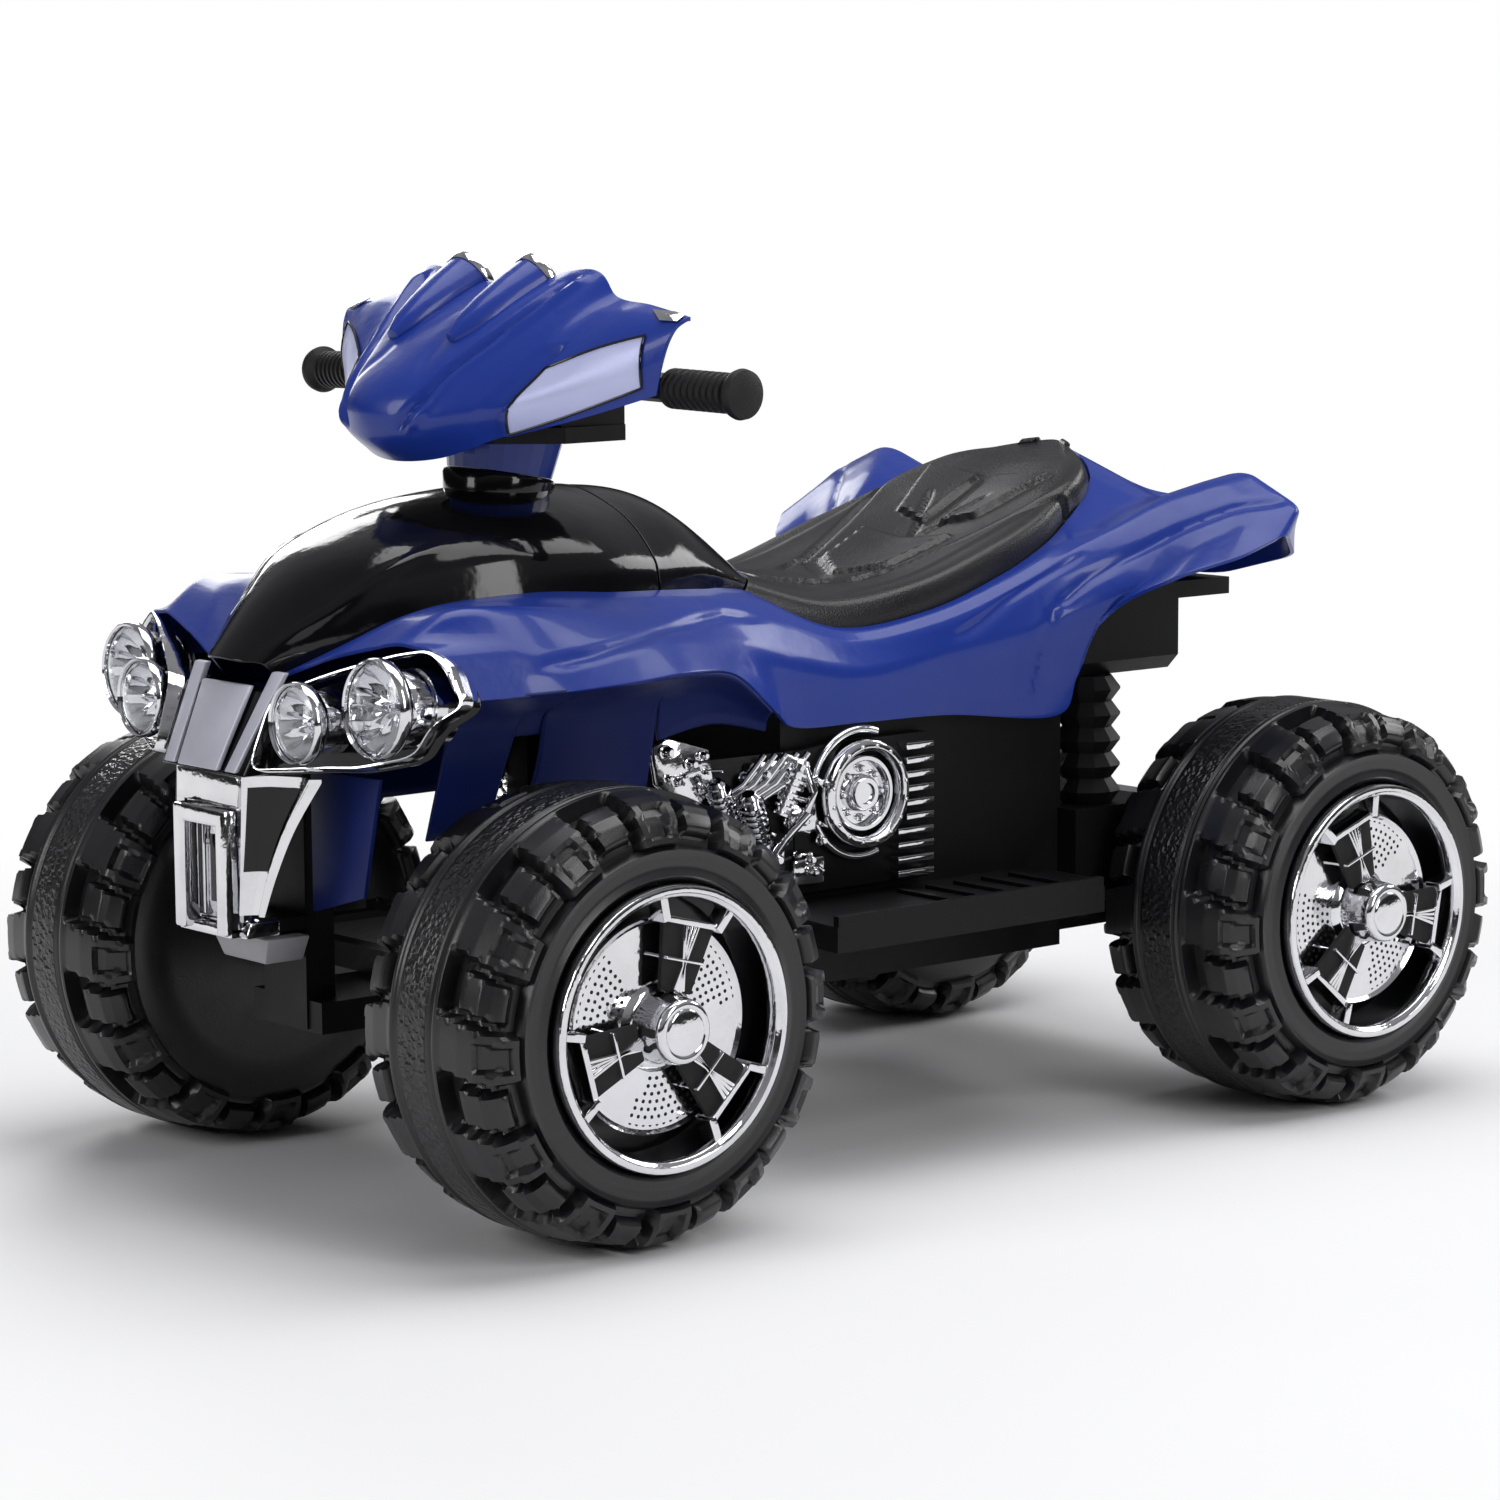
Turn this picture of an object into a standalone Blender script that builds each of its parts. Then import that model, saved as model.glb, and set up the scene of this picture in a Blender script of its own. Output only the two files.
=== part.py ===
"""Electric ride-on quad for a child, modelled as the separate pieces it comes apart into.

Model axes: +X is the rider's left, -Y is the front, +Z is up.
Pieces are drawn about the point midway between the axles at wheel-centre height.
ORIGIN then moves them so that the finished part stands on z = 0, centred on its own length.
"""

from math import atan2, cos, pi, radians, sin

import bmesh
import bpy
from mathutils import Matrix, Vector


# Driving sizes in metres
CLEARANCE = 0.0003
RUNNING_CLEARANCE = 0.0006

WHEELBASE = 0.732
TRACK = 0.494
NOSE_REACH = 0.178

TYRE_RADIUS = 0.1655
TYRE_HALF_WIDTH = 0.083
TYRE_BAND_HALF_WIDTH = 0.026
TYRE_BEAD_RADIUS = 0.1045
TYRE_GROOVE_DEPTH = 0.010
TREAD_PITCHES = 12
BLOCK_ANGLE = 10.0
BAR_SINK = 0.002
BAR_START = 0.044
DISH_DEPTH = 0.043
BOSS_PROUD = 0.002

AXLE_RADIUS = 0.006
AXLE_SIDES = 10
AXLE_OVERHANG = 0.085
RETAINER_RADIUS = 0.011
RETAINER_THICKNESS = 0.008

TRIM_FACE = 0.0895
HUB_RADIUS = 0.025
HUB_FACE = 0.101
SPOKE_COUNT = 3

KINGPIN_INSET = 0.024
KINGPIN_RADIUS = 0.005
KNUCKLE_BARREL_RADIUS = 0.011
KNUCKLE_BARREL_HEIGHT = 0.040
YOKE_PLATE = 0.004
STEERING_ARM = 0.080
TIE_ROD_HEIGHT = 0.020
TIE_ROD_THICKNESS = 0.006
TIE_ROD_WIDTH = 0.014
TIE_PIN_RADIUS = 0.003
CRANK_RADIUS = 0.0406
CRANK_PIN_RADIUS = 0.003

COLUMN_RAKE = radians(10.0)
COLUMN_RADIUS = 0.008
COLUMN_BEHIND_AXLE = 0.101
COLLAR_HEIGHT = 0.370
NECK_HEIGHT = 0.028
NECK_TOP_RADIUS = 0.045

HANDLEBAR_RADIUS = 0.011
GRIP_RADIUS = 0.0145
GRIP_LENGTH = 0.075

SHELL_WALL = 0.003
COVER_WALL = 0.003
LEDGE_WIDTH = 0.012
LEDGE_STEP = 0.004
COVER_GAP = 0.0008
FLANK_HALF_WIDTH = 0.150
NOSE_ZONE = 0.161
TAIL_ZONE = 0.171
COVER_FOOT = 0.285
COLLAR_PROUD = 0.007

NOSE_BEAM_TOP = -0.0103
TRAY_WALL = 0.004
BOX_HALF_WIDTH = 0.1365
BOX_TOP = 0.195
TRAY_BOTTOM = -0.034
FOOTBOARD_OVERHANG = 0.003
FOOTBOARD_TOP = 0.035
FOOTBOARD_THICKNESS = 0.020
FOOTBOARD_TYRE_GAP = 0.0605
FOOTBOARD_RIBS = 5

BATTERY_SIZE = (0.151, 0.098, 0.094)
MOTOR_RADIUS = 0.0185
MOTOR_LENGTH = 0.057
GEARBOX_WIDTH = 0.050
MOTOR_HEIGHT = 0.060
SHOCK_FOOT = 0.080
SHOCK_RIBS = 5
TAIL_LOW = 0.186

DASH_HALF_WIDTH = 0.118
DASH_RISE = 0.133
DASH_FOOT = 0.087
DASH_LIP = 0.098
DASH_DEPTH = 0.041
BUTTON_RADIUS = 0.008
BUTTON_INSET = 0.033
SWITCH_PLACES = ((0.030, 0.72), (-0.030, 0.72))
SWITCH_SIZE = (0.020, 0.013)

NOSE_LOW = 0.166
NOSE_TOP = 0.2295
NOSE_FRAME_TOP = 0.2262
NOSE_LEAN = 0.031
NOSE_PANEL = 0.003
NOSE_DEPTH = 0.0737
BUMPER_BEHIND_NOSE = 0.008
STEP_LOW = 0.044
STEP_DEPTH = 0.036

PEDAL_X = -0.198
PEDAL_HALF_WIDTH = 0.026
PEDAL_LENGTH = 0.088
PEDAL_PIVOT_HEIGHT = 0.044
ENGINE_FINS = 8

FRONT = -WHEELBASE / 2
REAR = WHEELBASE / 2
COLUMN_TOP_Y = FRONT + COLUMN_BEHIND_AXLE
HALF_TRACK = TRACK / 2
KINGPIN_HALF_SPACING = HALF_TRACK - TYRE_HALF_WIDTH - KINGPIN_INSET
AXLE_HEIGHT = TYRE_RADIUS * cos(radians(BLOCK_ANGLE / 2))
ORIGIN = Vector((0, (NOSE_REACH - AXLE_HEIGHT) / 2, AXLE_HEIGHT))
AXLE_TIP = HALF_TRACK + AXLE_OVERHANG
YOKE_GAP = KNUCKLE_BARREL_HEIGHT + 2 * CLEARANCE
COLUMN_LINE = Vector((0, sin(COLUMN_RAKE), cos(COLUMN_RAKE)))

NOSE_FRONT_LOW = FRONT - NOSE_REACH
NOSE_FRONT_TOP = NOSE_FRONT_LOW + NOSE_LEAN
NOSE_BACK = NOSE_FRONT_LOW + NOSE_DEPTH
BUMPER_FRONT = NOSE_FRONT_LOW + BUMPER_BEHIND_NOSE
LAMP_FACING = Vector((0.40, -1.0, 0.30)).normalized()
LAMP_AIM = Vector((0.02, -1.0, 0.04)).normalized()
LAMP_PLANE_POINT = Vector((0.103, FRONT - 0.146, 0.206))

BUTTON_PLACES = ((DASH_HALF_WIDTH - BUTTON_INSET, 0.5), (BUTTON_INSET - DASH_HALF_WIDTH, 0.5))
DASH_FRONT = COLUMN_TOP_Y + 0.021
DASH_OUTLINE = (
    (DASH_FRONT, COLLAR_HEIGHT + DASH_RISE),
    (DASH_FRONT, COLLAR_HEIGHT + DASH_FOOT),
    (DASH_FRONT + DASH_DEPTH - 0.004, COLLAR_HEIGHT + DASH_FOOT),
    (DASH_FRONT + DASH_DEPTH, COLLAR_HEIGHT + DASH_LIP),
)
DASH_SLOPE = atan2(DASH_RISE - DASH_LIP, DASH_DEPTH)

FOOTBOARD_HALF_WIDTH = HALF_TRACK + FOOTBOARD_OVERHANG
BOX_FRONT = FRONT + 0.266
BOX_REAR = REAR - 0.166
SHOCK_Y = REAR - 0.128
GEARBOX_OUTER = HALF_TRACK - TYRE_HALF_WIDTH - BOSS_PROUD - CLEARANCE
GEARBOX_INNER = GEARBOX_OUTER - GEARBOX_WIDTH
MOTOR_Y = REAR - 0.031
PEDAL_PIVOT_Y = FRONT + 0.340


# Finishes: colour, roughness, metallic
FINISHES = {
    "blue_plastic": ((0.018, 0.040, 0.350), 0.25, 0.0),
    "black_gloss": ((0.012, 0.012, 0.014), 0.18, 0.0),
    "black_plastic": ((0.010, 0.010, 0.011), 0.45, 0.0),
    "seat_plastic": ((0.045, 0.045, 0.048), 0.35, 0.0),
    "lavender_plastic": ((0.480, 0.500, 0.740), 0.35, 0.0),
    "grey_plastic": ((0.350, 0.350, 0.370), 0.40, 0.0),
    "chrome": ((0.800, 0.800, 0.820), 0.12, 1.0),
    "tyre_plastic": ((0.016, 0.016, 0.019), 0.55, 0.0),
    "grip_rubber": ((0.010, 0.010, 0.010), 0.70, 0.0),
    "clear_plastic": ((0.850, 0.870, 0.900), 0.05, 0.0),
    "steel": ((0.420, 0.420, 0.430), 0.35, 1.0),
    "black_steel": ((0.015, 0.015, 0.016), 0.40, 0.6),
    "red_plastic": ((0.500, 0.020, 0.015), 0.35, 0.0),
}


def finish(name):
    """One Principled material for each finish, shared by its pieces."""
    if name in bpy.data.materials:
        return bpy.data.materials[name]
    colour, roughness, metallic = FINISHES[name]
    material = bpy.data.materials.new(name)
    material.use_nodes = True
    shader = material.node_tree.nodes["Principled BSDF"]
    shader.inputs["Base Color"].default_value = (*colour, 1.0)
    shader.inputs["Roughness"].default_value = roughness
    shader.inputs["Metallic"].default_value = metallic
    return material


def piece(name, shape, look, pivot=(0, 0, 0), sharp=35):
    """Make a named object from a bmesh, with its origin at the pivot."""
    bmesh.ops.recalc_face_normals(shape, faces=shape.faces)
    bmesh.ops.translate(shape, verts=shape.verts, vec=-Vector(pivot))
    mesh = bpy.data.meshes.new(name)
    shape.to_mesh(mesh)
    shape.free()
    mesh.shade_smooth()
    mesh.set_sharp_from_angle(angle=radians(sharp))
    mesh.materials.append(finish(look))
    thing = bpy.data.objects.new(name, mesh)
    thing.location = ORIGIN + Vector(pivot)
    bpy.context.collection.objects.link(thing)
    return thing


# Basic shapes
def block(low, high):
    """A box between two corners."""
    shape = bmesh.new()
    size = Vector(high) - Vector(low)
    middle = (Vector(high) + Vector(low)) / 2
    bmesh.ops.create_cube(shape, size=1.0)
    bmesh.ops.scale(shape, verts=shape.verts, vec=size)
    bmesh.ops.translate(shape, verts=shape.verts, vec=middle)
    return shape


def prism(outline, axis, low, high):
    """Extrude a flat outline along X, Y or Z; the outline holds the other two coordinates in order."""
    shape = bmesh.new()
    place = {"X": lambda a, b: (low, a, b), "Y": lambda a, b: (a, low, b), "Z": lambda a, b: (a, b, low)}[axis]
    corners = [shape.verts.new(place(a, b)) for a, b in outline]
    face = shape.faces.new(corners)
    grown = bmesh.ops.extrude_face_region(shape, geom=[face])
    far = [item for item in grown["geom"] if isinstance(item, bmesh.types.BMVert)]
    step = {"X": (high - low, 0, 0), "Y": (0, high - low, 0), "Z": (0, 0, high - low)}[axis]
    bmesh.ops.translate(shape, verts=far, vec=step)
    bmesh.ops.recalc_face_normals(shape, faces=shape.faces)
    return shape


def between(low_corners, high_corners):
    """A solid between two flat outlines of as many corners."""
    shape = bmesh.new()
    low = [shape.verts.new(point) for point in low_corners]
    high = [shape.verts.new(point) for point in high_corners]
    shape.faces.new(low[::-1])
    shape.faces.new(high)
    for a, b, c, d in zip(low, low[1:] + low[:1], high[1:] + high[:1], high):
        shape.faces.new((a, b, c, d))
    bmesh.ops.recalc_face_normals(shape, faces=shape.faces)
    return shape


def turned(profile, sides, start=(0, 0, 0), direction=(1, 0, 0)):
    """Turn a profile of (radius, distance along) about a line; a profile off the line closes on itself."""
    shape = bmesh.new()
    points = [shape.verts.new((along, radius, 0)) for radius, along in profile]
    edges = [shape.edges.new((a, b)) for a, b in zip(points, points[1:])]
    if profile[0][0] > 0:
        edges.append(shape.edges.new((points[-1], points[0])))
    bmesh.ops.spin(shape, geom=points + edges, cent=(0, 0, 0), axis=(1, 0, 0), angle=2 * pi,
                   steps=sides, use_merge=True)
    bmesh.ops.remove_doubles(shape, verts=shape.verts, dist=1e-6)
    turn = Vector((1, 0, 0)).rotation_difference(Vector(direction).normalized()).to_matrix().to_4x4()
    bmesh.ops.transform(shape, verts=shape.verts, matrix=Matrix.Translation(Vector(start)) @ turn)
    bmesh.ops.recalc_face_normals(shape, faces=shape.faces)
    return shape


def rod(start, end, radius, sides=AXLE_SIDES):
    """A round bar between two points."""
    line = Vector(end) - Vector(start)
    return turned([(0, 0), (radius, 0), (radius, line.length), (0, line.length)], sides, start, line)


def bore_radius(radius, gap, sides=AXLE_SIDES):
    """Corner radius of a faceted bore whose flats clear a round bar by a gap."""
    return (radius + gap) / cos(pi / sides)


def bent_bar(points, radius, resolution=2):
    """A round bar along a bent line, from a bevelled curve with filled caps."""
    curve = bpy.data.curves.new("bar_path", "CURVE")
    curve.dimensions = "3D"
    curve.bevel_depth = radius
    curve.bevel_resolution = resolution
    curve.use_fill_caps = True
    line = curve.splines.new("POLY")
    line.points.add(len(points) - 1)
    for knot, place in zip(line.points, points):
        knot.co = (*place, 1.0)
    holder = bpy.data.objects.new("bar_path", curve)
    mesh = bpy.data.meshes.new_from_object(holder)
    shape = bmesh.new()
    shape.from_mesh(mesh)
    bmesh.ops.remove_doubles(shape, verts=shape.verts, dist=1e-6)
    bmesh.ops.recalc_face_normals(shape, faces=shape.faces)
    bpy.data.objects.remove(holder)
    bpy.data.curves.remove(curve)
    bpy.data.meshes.remove(mesh)
    return shape


def fused(solids, cuts=()):
    """Join overlapping solids into one body, then take the cuts out of it."""
    helpers = []
    for shape in list(solids) + list(cuts):
        mesh = bpy.data.meshes.new("helper")
        shape.to_mesh(mesh)
        shape.free()
        helper = bpy.data.objects.new("helper", mesh)
        bpy.context.collection.objects.link(helper)
        helpers.append(helper)
    base = helpers[0]
    for number, helper in enumerate(helpers[1:], start=1):
        modifier = base.modifiers.new("join", "BOOLEAN")
        modifier.operation = "UNION" if number < len(solids) else "DIFFERENCE"
        modifier.solver = "EXACT"
        modifier.object = helper
    ready = base.evaluated_get(bpy.context.evaluated_depsgraph_get())
    shape = bmesh.new()
    shape.from_mesh(ready.to_mesh())
    ready.to_mesh_clear()
    for helper in helpers:
        mesh = helper.data
        bpy.data.objects.remove(helper)
        bpy.data.meshes.remove(mesh)
    bmesh.ops.remove_doubles(shape, verts=shape.verts, dist=1e-6)
    bmesh.ops.dissolve_degenerate(shape, edges=shape.edges, dist=1e-6)
    return shape


def mirrored(shape):
    """The same shape on the other side of the centre plane."""
    bmesh.ops.scale(shape, verts=shape.verts, vec=(-1, 1, 1))
    bmesh.ops.reverse_faces(shape, faces=shape.faces)
    return shape


def walled(rows, wall, skip=0.0):
    """A moulded wall under a surface through rows of points: closed, with its own edge."""
    rows = [[Vector(point) for point in row] for row in rows]
    across = len(rows[0])
    outer = []
    inner = []
    for i, row in enumerate(rows):
        behind = rows[max(i - 1, 0)]
        ahead = rows[min(i + 1, len(rows) - 1)]
        outer.append([])
        inner.append([])
        for j, point in enumerate(row):
            along = ahead[j] - behind[j]
            first = along.cross(point - row[j - 1]).normalized() if j > 0 else Vector()
            second = along.cross(row[j + 1] - point).normalized() if j < across - 1 else Vector()
            outward = first + second
            outward *= (2 if 0 < j < across - 1 else 1) / max(outward.length_squared, 0.8)
            outer[i].append(point - outward * skip)
            inner[i].append(point - outward * (skip + wall))
    shape = bmesh.new()
    outer_grid = [[shape.verts.new(point) for point in row] for row in outer]
    inner_grid = [[shape.verts.new(point) for point in row] for row in inner]
    for i in range(len(rows) - 1):
        for j in range(across - 1):
            falling = (rows[i][j] - rows[i + 1][j + 1]).length
            rising = (rows[i][j + 1] - rows[i + 1][j]).length
            for grid, order in ((outer_grid, 1), (inner_grid, -1)):
                a, b, c, d = grid[i][j], grid[i][j + 1], grid[i + 1][j + 1], grid[i + 1][j]
                for triangle in ((a, b, c), (a, c, d)) if falling < rising else ((a, b, d), (b, c, d)):
                    shape.faces.new(triangle[::order])
    rim = [(i, 0) for i in range(len(rows))]
    rim += [(len(rows) - 1, j) for j in range(1, across)]
    rim += [(i, across - 1) for i in range(len(rows) - 2, -1, -1)]
    rim += [(0, j) for j in range(across - 2, 0, -1)]
    for (i, j), (m, n) in zip(rim, rim[1:] + rim[:1]):
        shape.faces.new((outer_grid[i][j], outer_grid[m][n], inner_grid[m][n], inner_grid[i][j]))
    bmesh.ops.recalc_face_normals(shape, faces=shape.faces)
    return shape


def eased(rows, spans):
    """Rows of points with more rows between them, on smooth curves through the given ones."""
    rows = [[Vector(point) for point in row] for row in rows]
    result = []
    for i, count in zip(range(len(rows) - 1), spans):
        before = rows[max(i - 1, 0)]
        after = rows[min(i + 2, len(rows) - 1)]
        for step in range(count):
            t = step / count
            line = []
            for p0, p1, p2, p3 in zip(before, rows[i], rows[i + 1], after):
                line.append(0.5 * (2 * p1 + (p2 - p0) * t + (2 * p0 - 5 * p1 + 4 * p2 - p3) * t * t
                                   + (3 * p1 - p0 - 3 * p2 + p3) * t ** 3))
            result.append(line)
    result.append(rows[-1])
    return result


def both_sides(row):
    """A row from one edge to the centre line, carried on to the other edge."""
    return list(row) + [Vector((-point[0], point[1], point[2])) for point in reversed(row[:-1])]


def side_name(side):
    return "left" if side > 0 else "right"


def column_point(distance, rearward=0.0, sideways=0.0):
    """A point measured down the raked steering column from the collar on the bonnet."""
    down = Vector((0, -sin(COLUMN_RAKE), -cos(COLUMN_RAKE)))
    back = Vector((0, cos(COLUMN_RAKE), -sin(COLUMN_RAKE)))
    start = Vector((0, COLUMN_TOP_Y, COLLAR_HEIGHT))
    return start + down * distance + back * rearward + Vector((sideways, 0, 0))


# Body shape: each station runs from the cover seam out over the fender to the lower edge.
# Heights are above the wheel centres. The nose keeps its place from the front axle and the tail from
# the rear axle, and the middle stretches with the wheelbase.
BODY_STATIONS = (
    ((0.036, -0.497, 0.235), (0.090, -0.486, 0.254), (0.165, -0.474, 0.271),
     (0.218, -0.473, 0.267), (0.252, -0.474, 0.236)),
    ((0.075, -0.447, 0.264), (0.120, -0.445, 0.282), (0.175, -0.438, 0.291),
     (0.236, -0.440, 0.266), (0.262, -0.437, 0.237)),
    ((0.103, -0.404, 0.285), (0.140, -0.402, 0.291), (0.182, -0.397, 0.291),
     (0.250, -0.394, 0.255), (0.268, -0.394, 0.238)),
    ((0.1275, -0.330, 0.292), (0.150, -0.330, 0.290), (0.180, -0.330, 0.283),
     (0.235, -0.330, 0.258), (0.256, -0.330, 0.238)),
    ((0.132, -0.260, 0.288), (0.147, -0.260, 0.284), (0.168, -0.260, 0.275),
     (0.208, -0.262, 0.260), (0.236, -0.268, 0.239)),
    ((0.122, -0.205, 0.285), (0.136, -0.203, 0.281), (0.153, -0.200, 0.272),
     (0.176, -0.200, 0.250), (0.190, -0.215, 0.198)),
    ((0.106, -0.150, 0.281), (0.124, -0.150, 0.275), (0.140, -0.150, 0.264),
     (0.153, -0.152, 0.235), (0.154, -0.154, 0.163)),
    ((0.086, -0.095, 0.275), (0.110, -0.093, 0.266), (0.132, -0.092, 0.252),
     (0.148, -0.091, 0.225), (0.150, -0.091, 0.172)),
    ((0.115, -0.025, 0.243), (0.128, -0.025, 0.241), (0.138, -0.025, 0.233),
     (0.149, -0.025, 0.212), (0.150, -0.025, 0.171)),
    ((0.129, 0.060, 0.251), (0.138, 0.060, 0.250), (0.146, 0.060, 0.242),
     (0.151, 0.062, 0.218), (0.150, 0.065, 0.169)),
    ((0.130, 0.138, 0.274), (0.141, 0.140, 0.274), (0.153, 0.142, 0.267),
     (0.163, 0.143, 0.230), (0.160, 0.172, 0.160)),
    ((0.122, 0.195, 0.295), (0.140, 0.196, 0.297), (0.160, 0.195, 0.292),
     (0.180, 0.188, 0.250), (0.167, 0.190, 0.192)),
    ((0.110, 0.232, 0.312), (0.137, 0.235, 0.307), (0.170, 0.236, 0.312),
     (0.207, 0.223, 0.270), (0.186, 0.203, 0.243)),
    ((0.094, 0.268, 0.330), (0.130, 0.270, 0.318), (0.188, 0.276, 0.336),
     (0.240, 0.256, 0.298), (0.247, 0.220, 0.276)),
    ((0.078, 0.290, 0.343), (0.130, 0.300, 0.325), (0.206, 0.304, 0.348),
     (0.262, 0.292, 0.322), (0.284, 0.258, 0.293)),
    ((0.060, 0.304, 0.350), (0.128, 0.322, 0.325), (0.220, 0.328, 0.356),
     (0.286, 0.325, 0.329), (0.291, 0.302, 0.308)),
    ((0.040, 0.316, 0.357), (0.118, 0.338, 0.323), (0.200, 0.345, 0.335),
     (0.250, 0.352, 0.310), (0.255, 0.350, 0.285)),
    ((0.020, 0.325, 0.361), (0.070, 0.347, 0.335), (0.120, 0.357, 0.318),
     (0.150, 0.366, 0.290), (0.152, 0.370, 0.262)),
    ((0.000, 0.330, 0.363), (0.000, 0.349, 0.355), (0.000, 0.362, 0.338),
     (0.000, 0.370, 0.300), (0.000, 0.373, 0.262)),
)
BONNET_END = 5
TANK_END = 7
TAIL_START = 11
STATION_SPANS = (2,) * 11 + (1,) * 7


def stretched(point):
    """A body point moved along with the wheelbase."""
    low = BODY_STATIONS[BONNET_END][0][1]
    high = BODY_STATIONS[TAIL_START][0][1]
    share = min(max((point[1] - low) / (high - low), 0), 1)
    shift = (FRONT + NOSE_ZONE - low) * (1 - share) + (REAR - TAIL_ZONE - high) * share
    return Vector((point[0], point[1] + shift, point[2]))


def raised(point):
    """A cover's point, moved along with the wheelbase and raised with the collar."""
    place = stretched(point)
    crown = max(point[2] for row in BONNET_FORM for point in row)
    share = max((point[2] - COVER_FOOT) / (crown - COVER_FOOT), 0)
    place.z += (COLLAR_HEIGHT - COLLAR_PROUD - crown) * share
    return place


def carried(point):
    """A point of the steering's covers, which are measured from the top of the column."""
    return Vector((0, COLUMN_TOP_Y, COLLAR_HEIGHT)) + Vector(point)


def body_stations():
    """The body's stations on one side, eased."""
    return eased([[stretched(point) for point in row] for row in BODY_STATIONS], STATION_SPANS)


def seam_inward(stations, number):
    """Level direction from the seam towards the middle of the covers."""
    behind = stations[max(number - 1, 0)][0]
    if number + 1 < len(stations):
        ahead = stations[number + 1][0]
    else:
        ahead = Vector((-behind.x, behind.y, behind.z))
    along = ahead - behind
    return Vector((-along.y, along.x, 0)).normalized()


def cover_edge(stations, number):
    """Where a cover stands on the shell's ledge: its foot and the top of its upright edge."""
    seam = stations[number][0]
    foot = seam + seam_inward(stations, number) * RUNNING_CLEARANCE
    foot.z = seam.z - LEDGE_STEP + COVER_GAP
    return foot, foot + Vector((0, 0, LEDGE_STEP))


def make_body_shell():
    """One blue moulding: fenders, flanks and tail, with a ledge round the covers."""
    stations = body_stations()
    rows = []
    for number, row in enumerate(stations):
        inward = seam_inward(stations, number)
        corner = row[0] - Vector((0, 0, LEDGE_STEP))
        ledge = corner + inward * LEDGE_WIDTH
        rows.append(list(reversed(row)) + [corner, ledge])
    rows += [[Vector((-point.x, point.y, point.z)) for point in row] for row in reversed(rows[:-1])]
    piece("body_shell", walled(rows, SHELL_WALL), "blue_plastic", sharp=40)


# Covers: heights of the side, shoulder and crown at each of the body's stations
BONNET_FORM = (
    ((0.034, -0.507, 0.244), (0.021, -0.519, 0.247), (0.000, -0.524, 0.249)),
    ((0.060, -0.462, 0.277), (0.035, -0.474, 0.290), (0.000, -0.480, 0.295)),
    ((0.088, -0.415, 0.306), (0.055, -0.425, 0.321), (0.000, -0.430, 0.327)),
    ((0.113, -0.340, 0.322), (0.073, -0.346, 0.344), (0.000, -0.350, 0.354)),
    ((0.122, -0.265, 0.318), (0.078, -0.268, 0.347), (0.000, -0.270, 0.363)),
    ((0.113, -0.205, 0.309), (0.072, -0.205, 0.341), (0.000, -0.205, 0.359)),
)
TANK_FORM = (
    ((0.113, -0.205, 0.309), (0.072, -0.205, 0.341), (0.000, -0.205, 0.359)),
    ((0.098, -0.148, 0.303), (0.062, -0.142, 0.332), (0.000, -0.138, 0.346)),
    ((0.080, -0.085, 0.281), (0.046, -0.064, 0.283), (0.000, -0.050, 0.284)),
)
SEAT_FORM = (
    ((0.080, -0.085, 0.281), (0.046, -0.064, 0.283), (0.000, -0.050, 0.284)),
    ((0.108, -0.022, 0.262), (0.070, -0.015, 0.270), (0.000, -0.010, 0.271)),
    ((0.121, 0.060, 0.274), (0.076, 0.060, 0.271), (0.000, 0.060, 0.265)),
    ((0.122, 0.137, 0.298), (0.076, 0.137, 0.294), (0.000, 0.137, 0.284)),
    ((0.115, 0.192, 0.317), (0.071, 0.192, 0.315), (0.000, 0.192, 0.308)),
    ((0.103, 0.230, 0.333), (0.064, 0.231, 0.334), (0.000, 0.232, 0.329)),
    ((0.088, 0.263, 0.347), (0.055, 0.266, 0.350), (0.000, 0.269, 0.348)),
    ((0.072, 0.283, 0.355), (0.045, 0.288, 0.359), (0.000, 0.293, 0.359)),
    ((0.055, 0.296, 0.359), (0.035, 0.303, 0.363), (0.000, 0.308, 0.364)),
    ((0.037, 0.307, 0.363), (0.024, 0.312, 0.366), (0.000, 0.317, 0.367)),
    ((0.018, 0.316, 0.366), (0.012, 0.319, 0.368), (0.000, 0.322, 0.369)),
)


def cover_rows(form, first, place):
    """Rows of one cover, from edge to edge, standing on the ledge of the shell."""
    stations = body_stations()
    upper = eased([[place(point) for point in row] for row in form], STATION_SPANS[first:])
    start = sum(STATION_SPANS[:first])
    rows = []
    for offset, row in enumerate(upper):
        foot, edge = cover_edge(stations, start + offset)
        rows.append(both_sides([foot, edge] + list(row)))
    return rows


def trimmed_ends(rows):
    """Draw the first and last rows in, so that neighbouring covers keep a gap."""
    for end, inner in ((0, 1), (-1, -2)):
        rows[end] = [a + (b - a).normalized() * CLEARANCE for a, b in zip(rows[end], rows[inner])]
    return rows


def make_covers():
    """The gloss bonnet and tank cover, and the seat."""
    bonnet = walled(trimmed_ends(cover_rows(BONNET_FORM, 0, raised)), COVER_WALL)
    top = column_point(-0.020)
    collar = turned([(0, -0.030), (0.036, -0.030), (0.042, 0.0), (0, 0.0)], 20, column_point(0), COLUMN_LINE)
    hole = rod(column_point(0.060), top, COLUMN_RADIUS + 0.008, 16)
    piece("bonnet", fused([bonnet, collar], [hole]), "black_gloss", sharp=45)
    tank = walled(trimmed_ends(cover_rows(TANK_FORM, BONNET_END, raised)), COVER_WALL)
    piece("tank_cover", tank, "black_gloss", sharp=45)
    seat = walled(trimmed_ends(cover_rows(SEAT_FORM, TANK_END, stretched)), COVER_WALL)
    piece("seat", seat, "seat_plastic", sharp=50)


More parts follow.
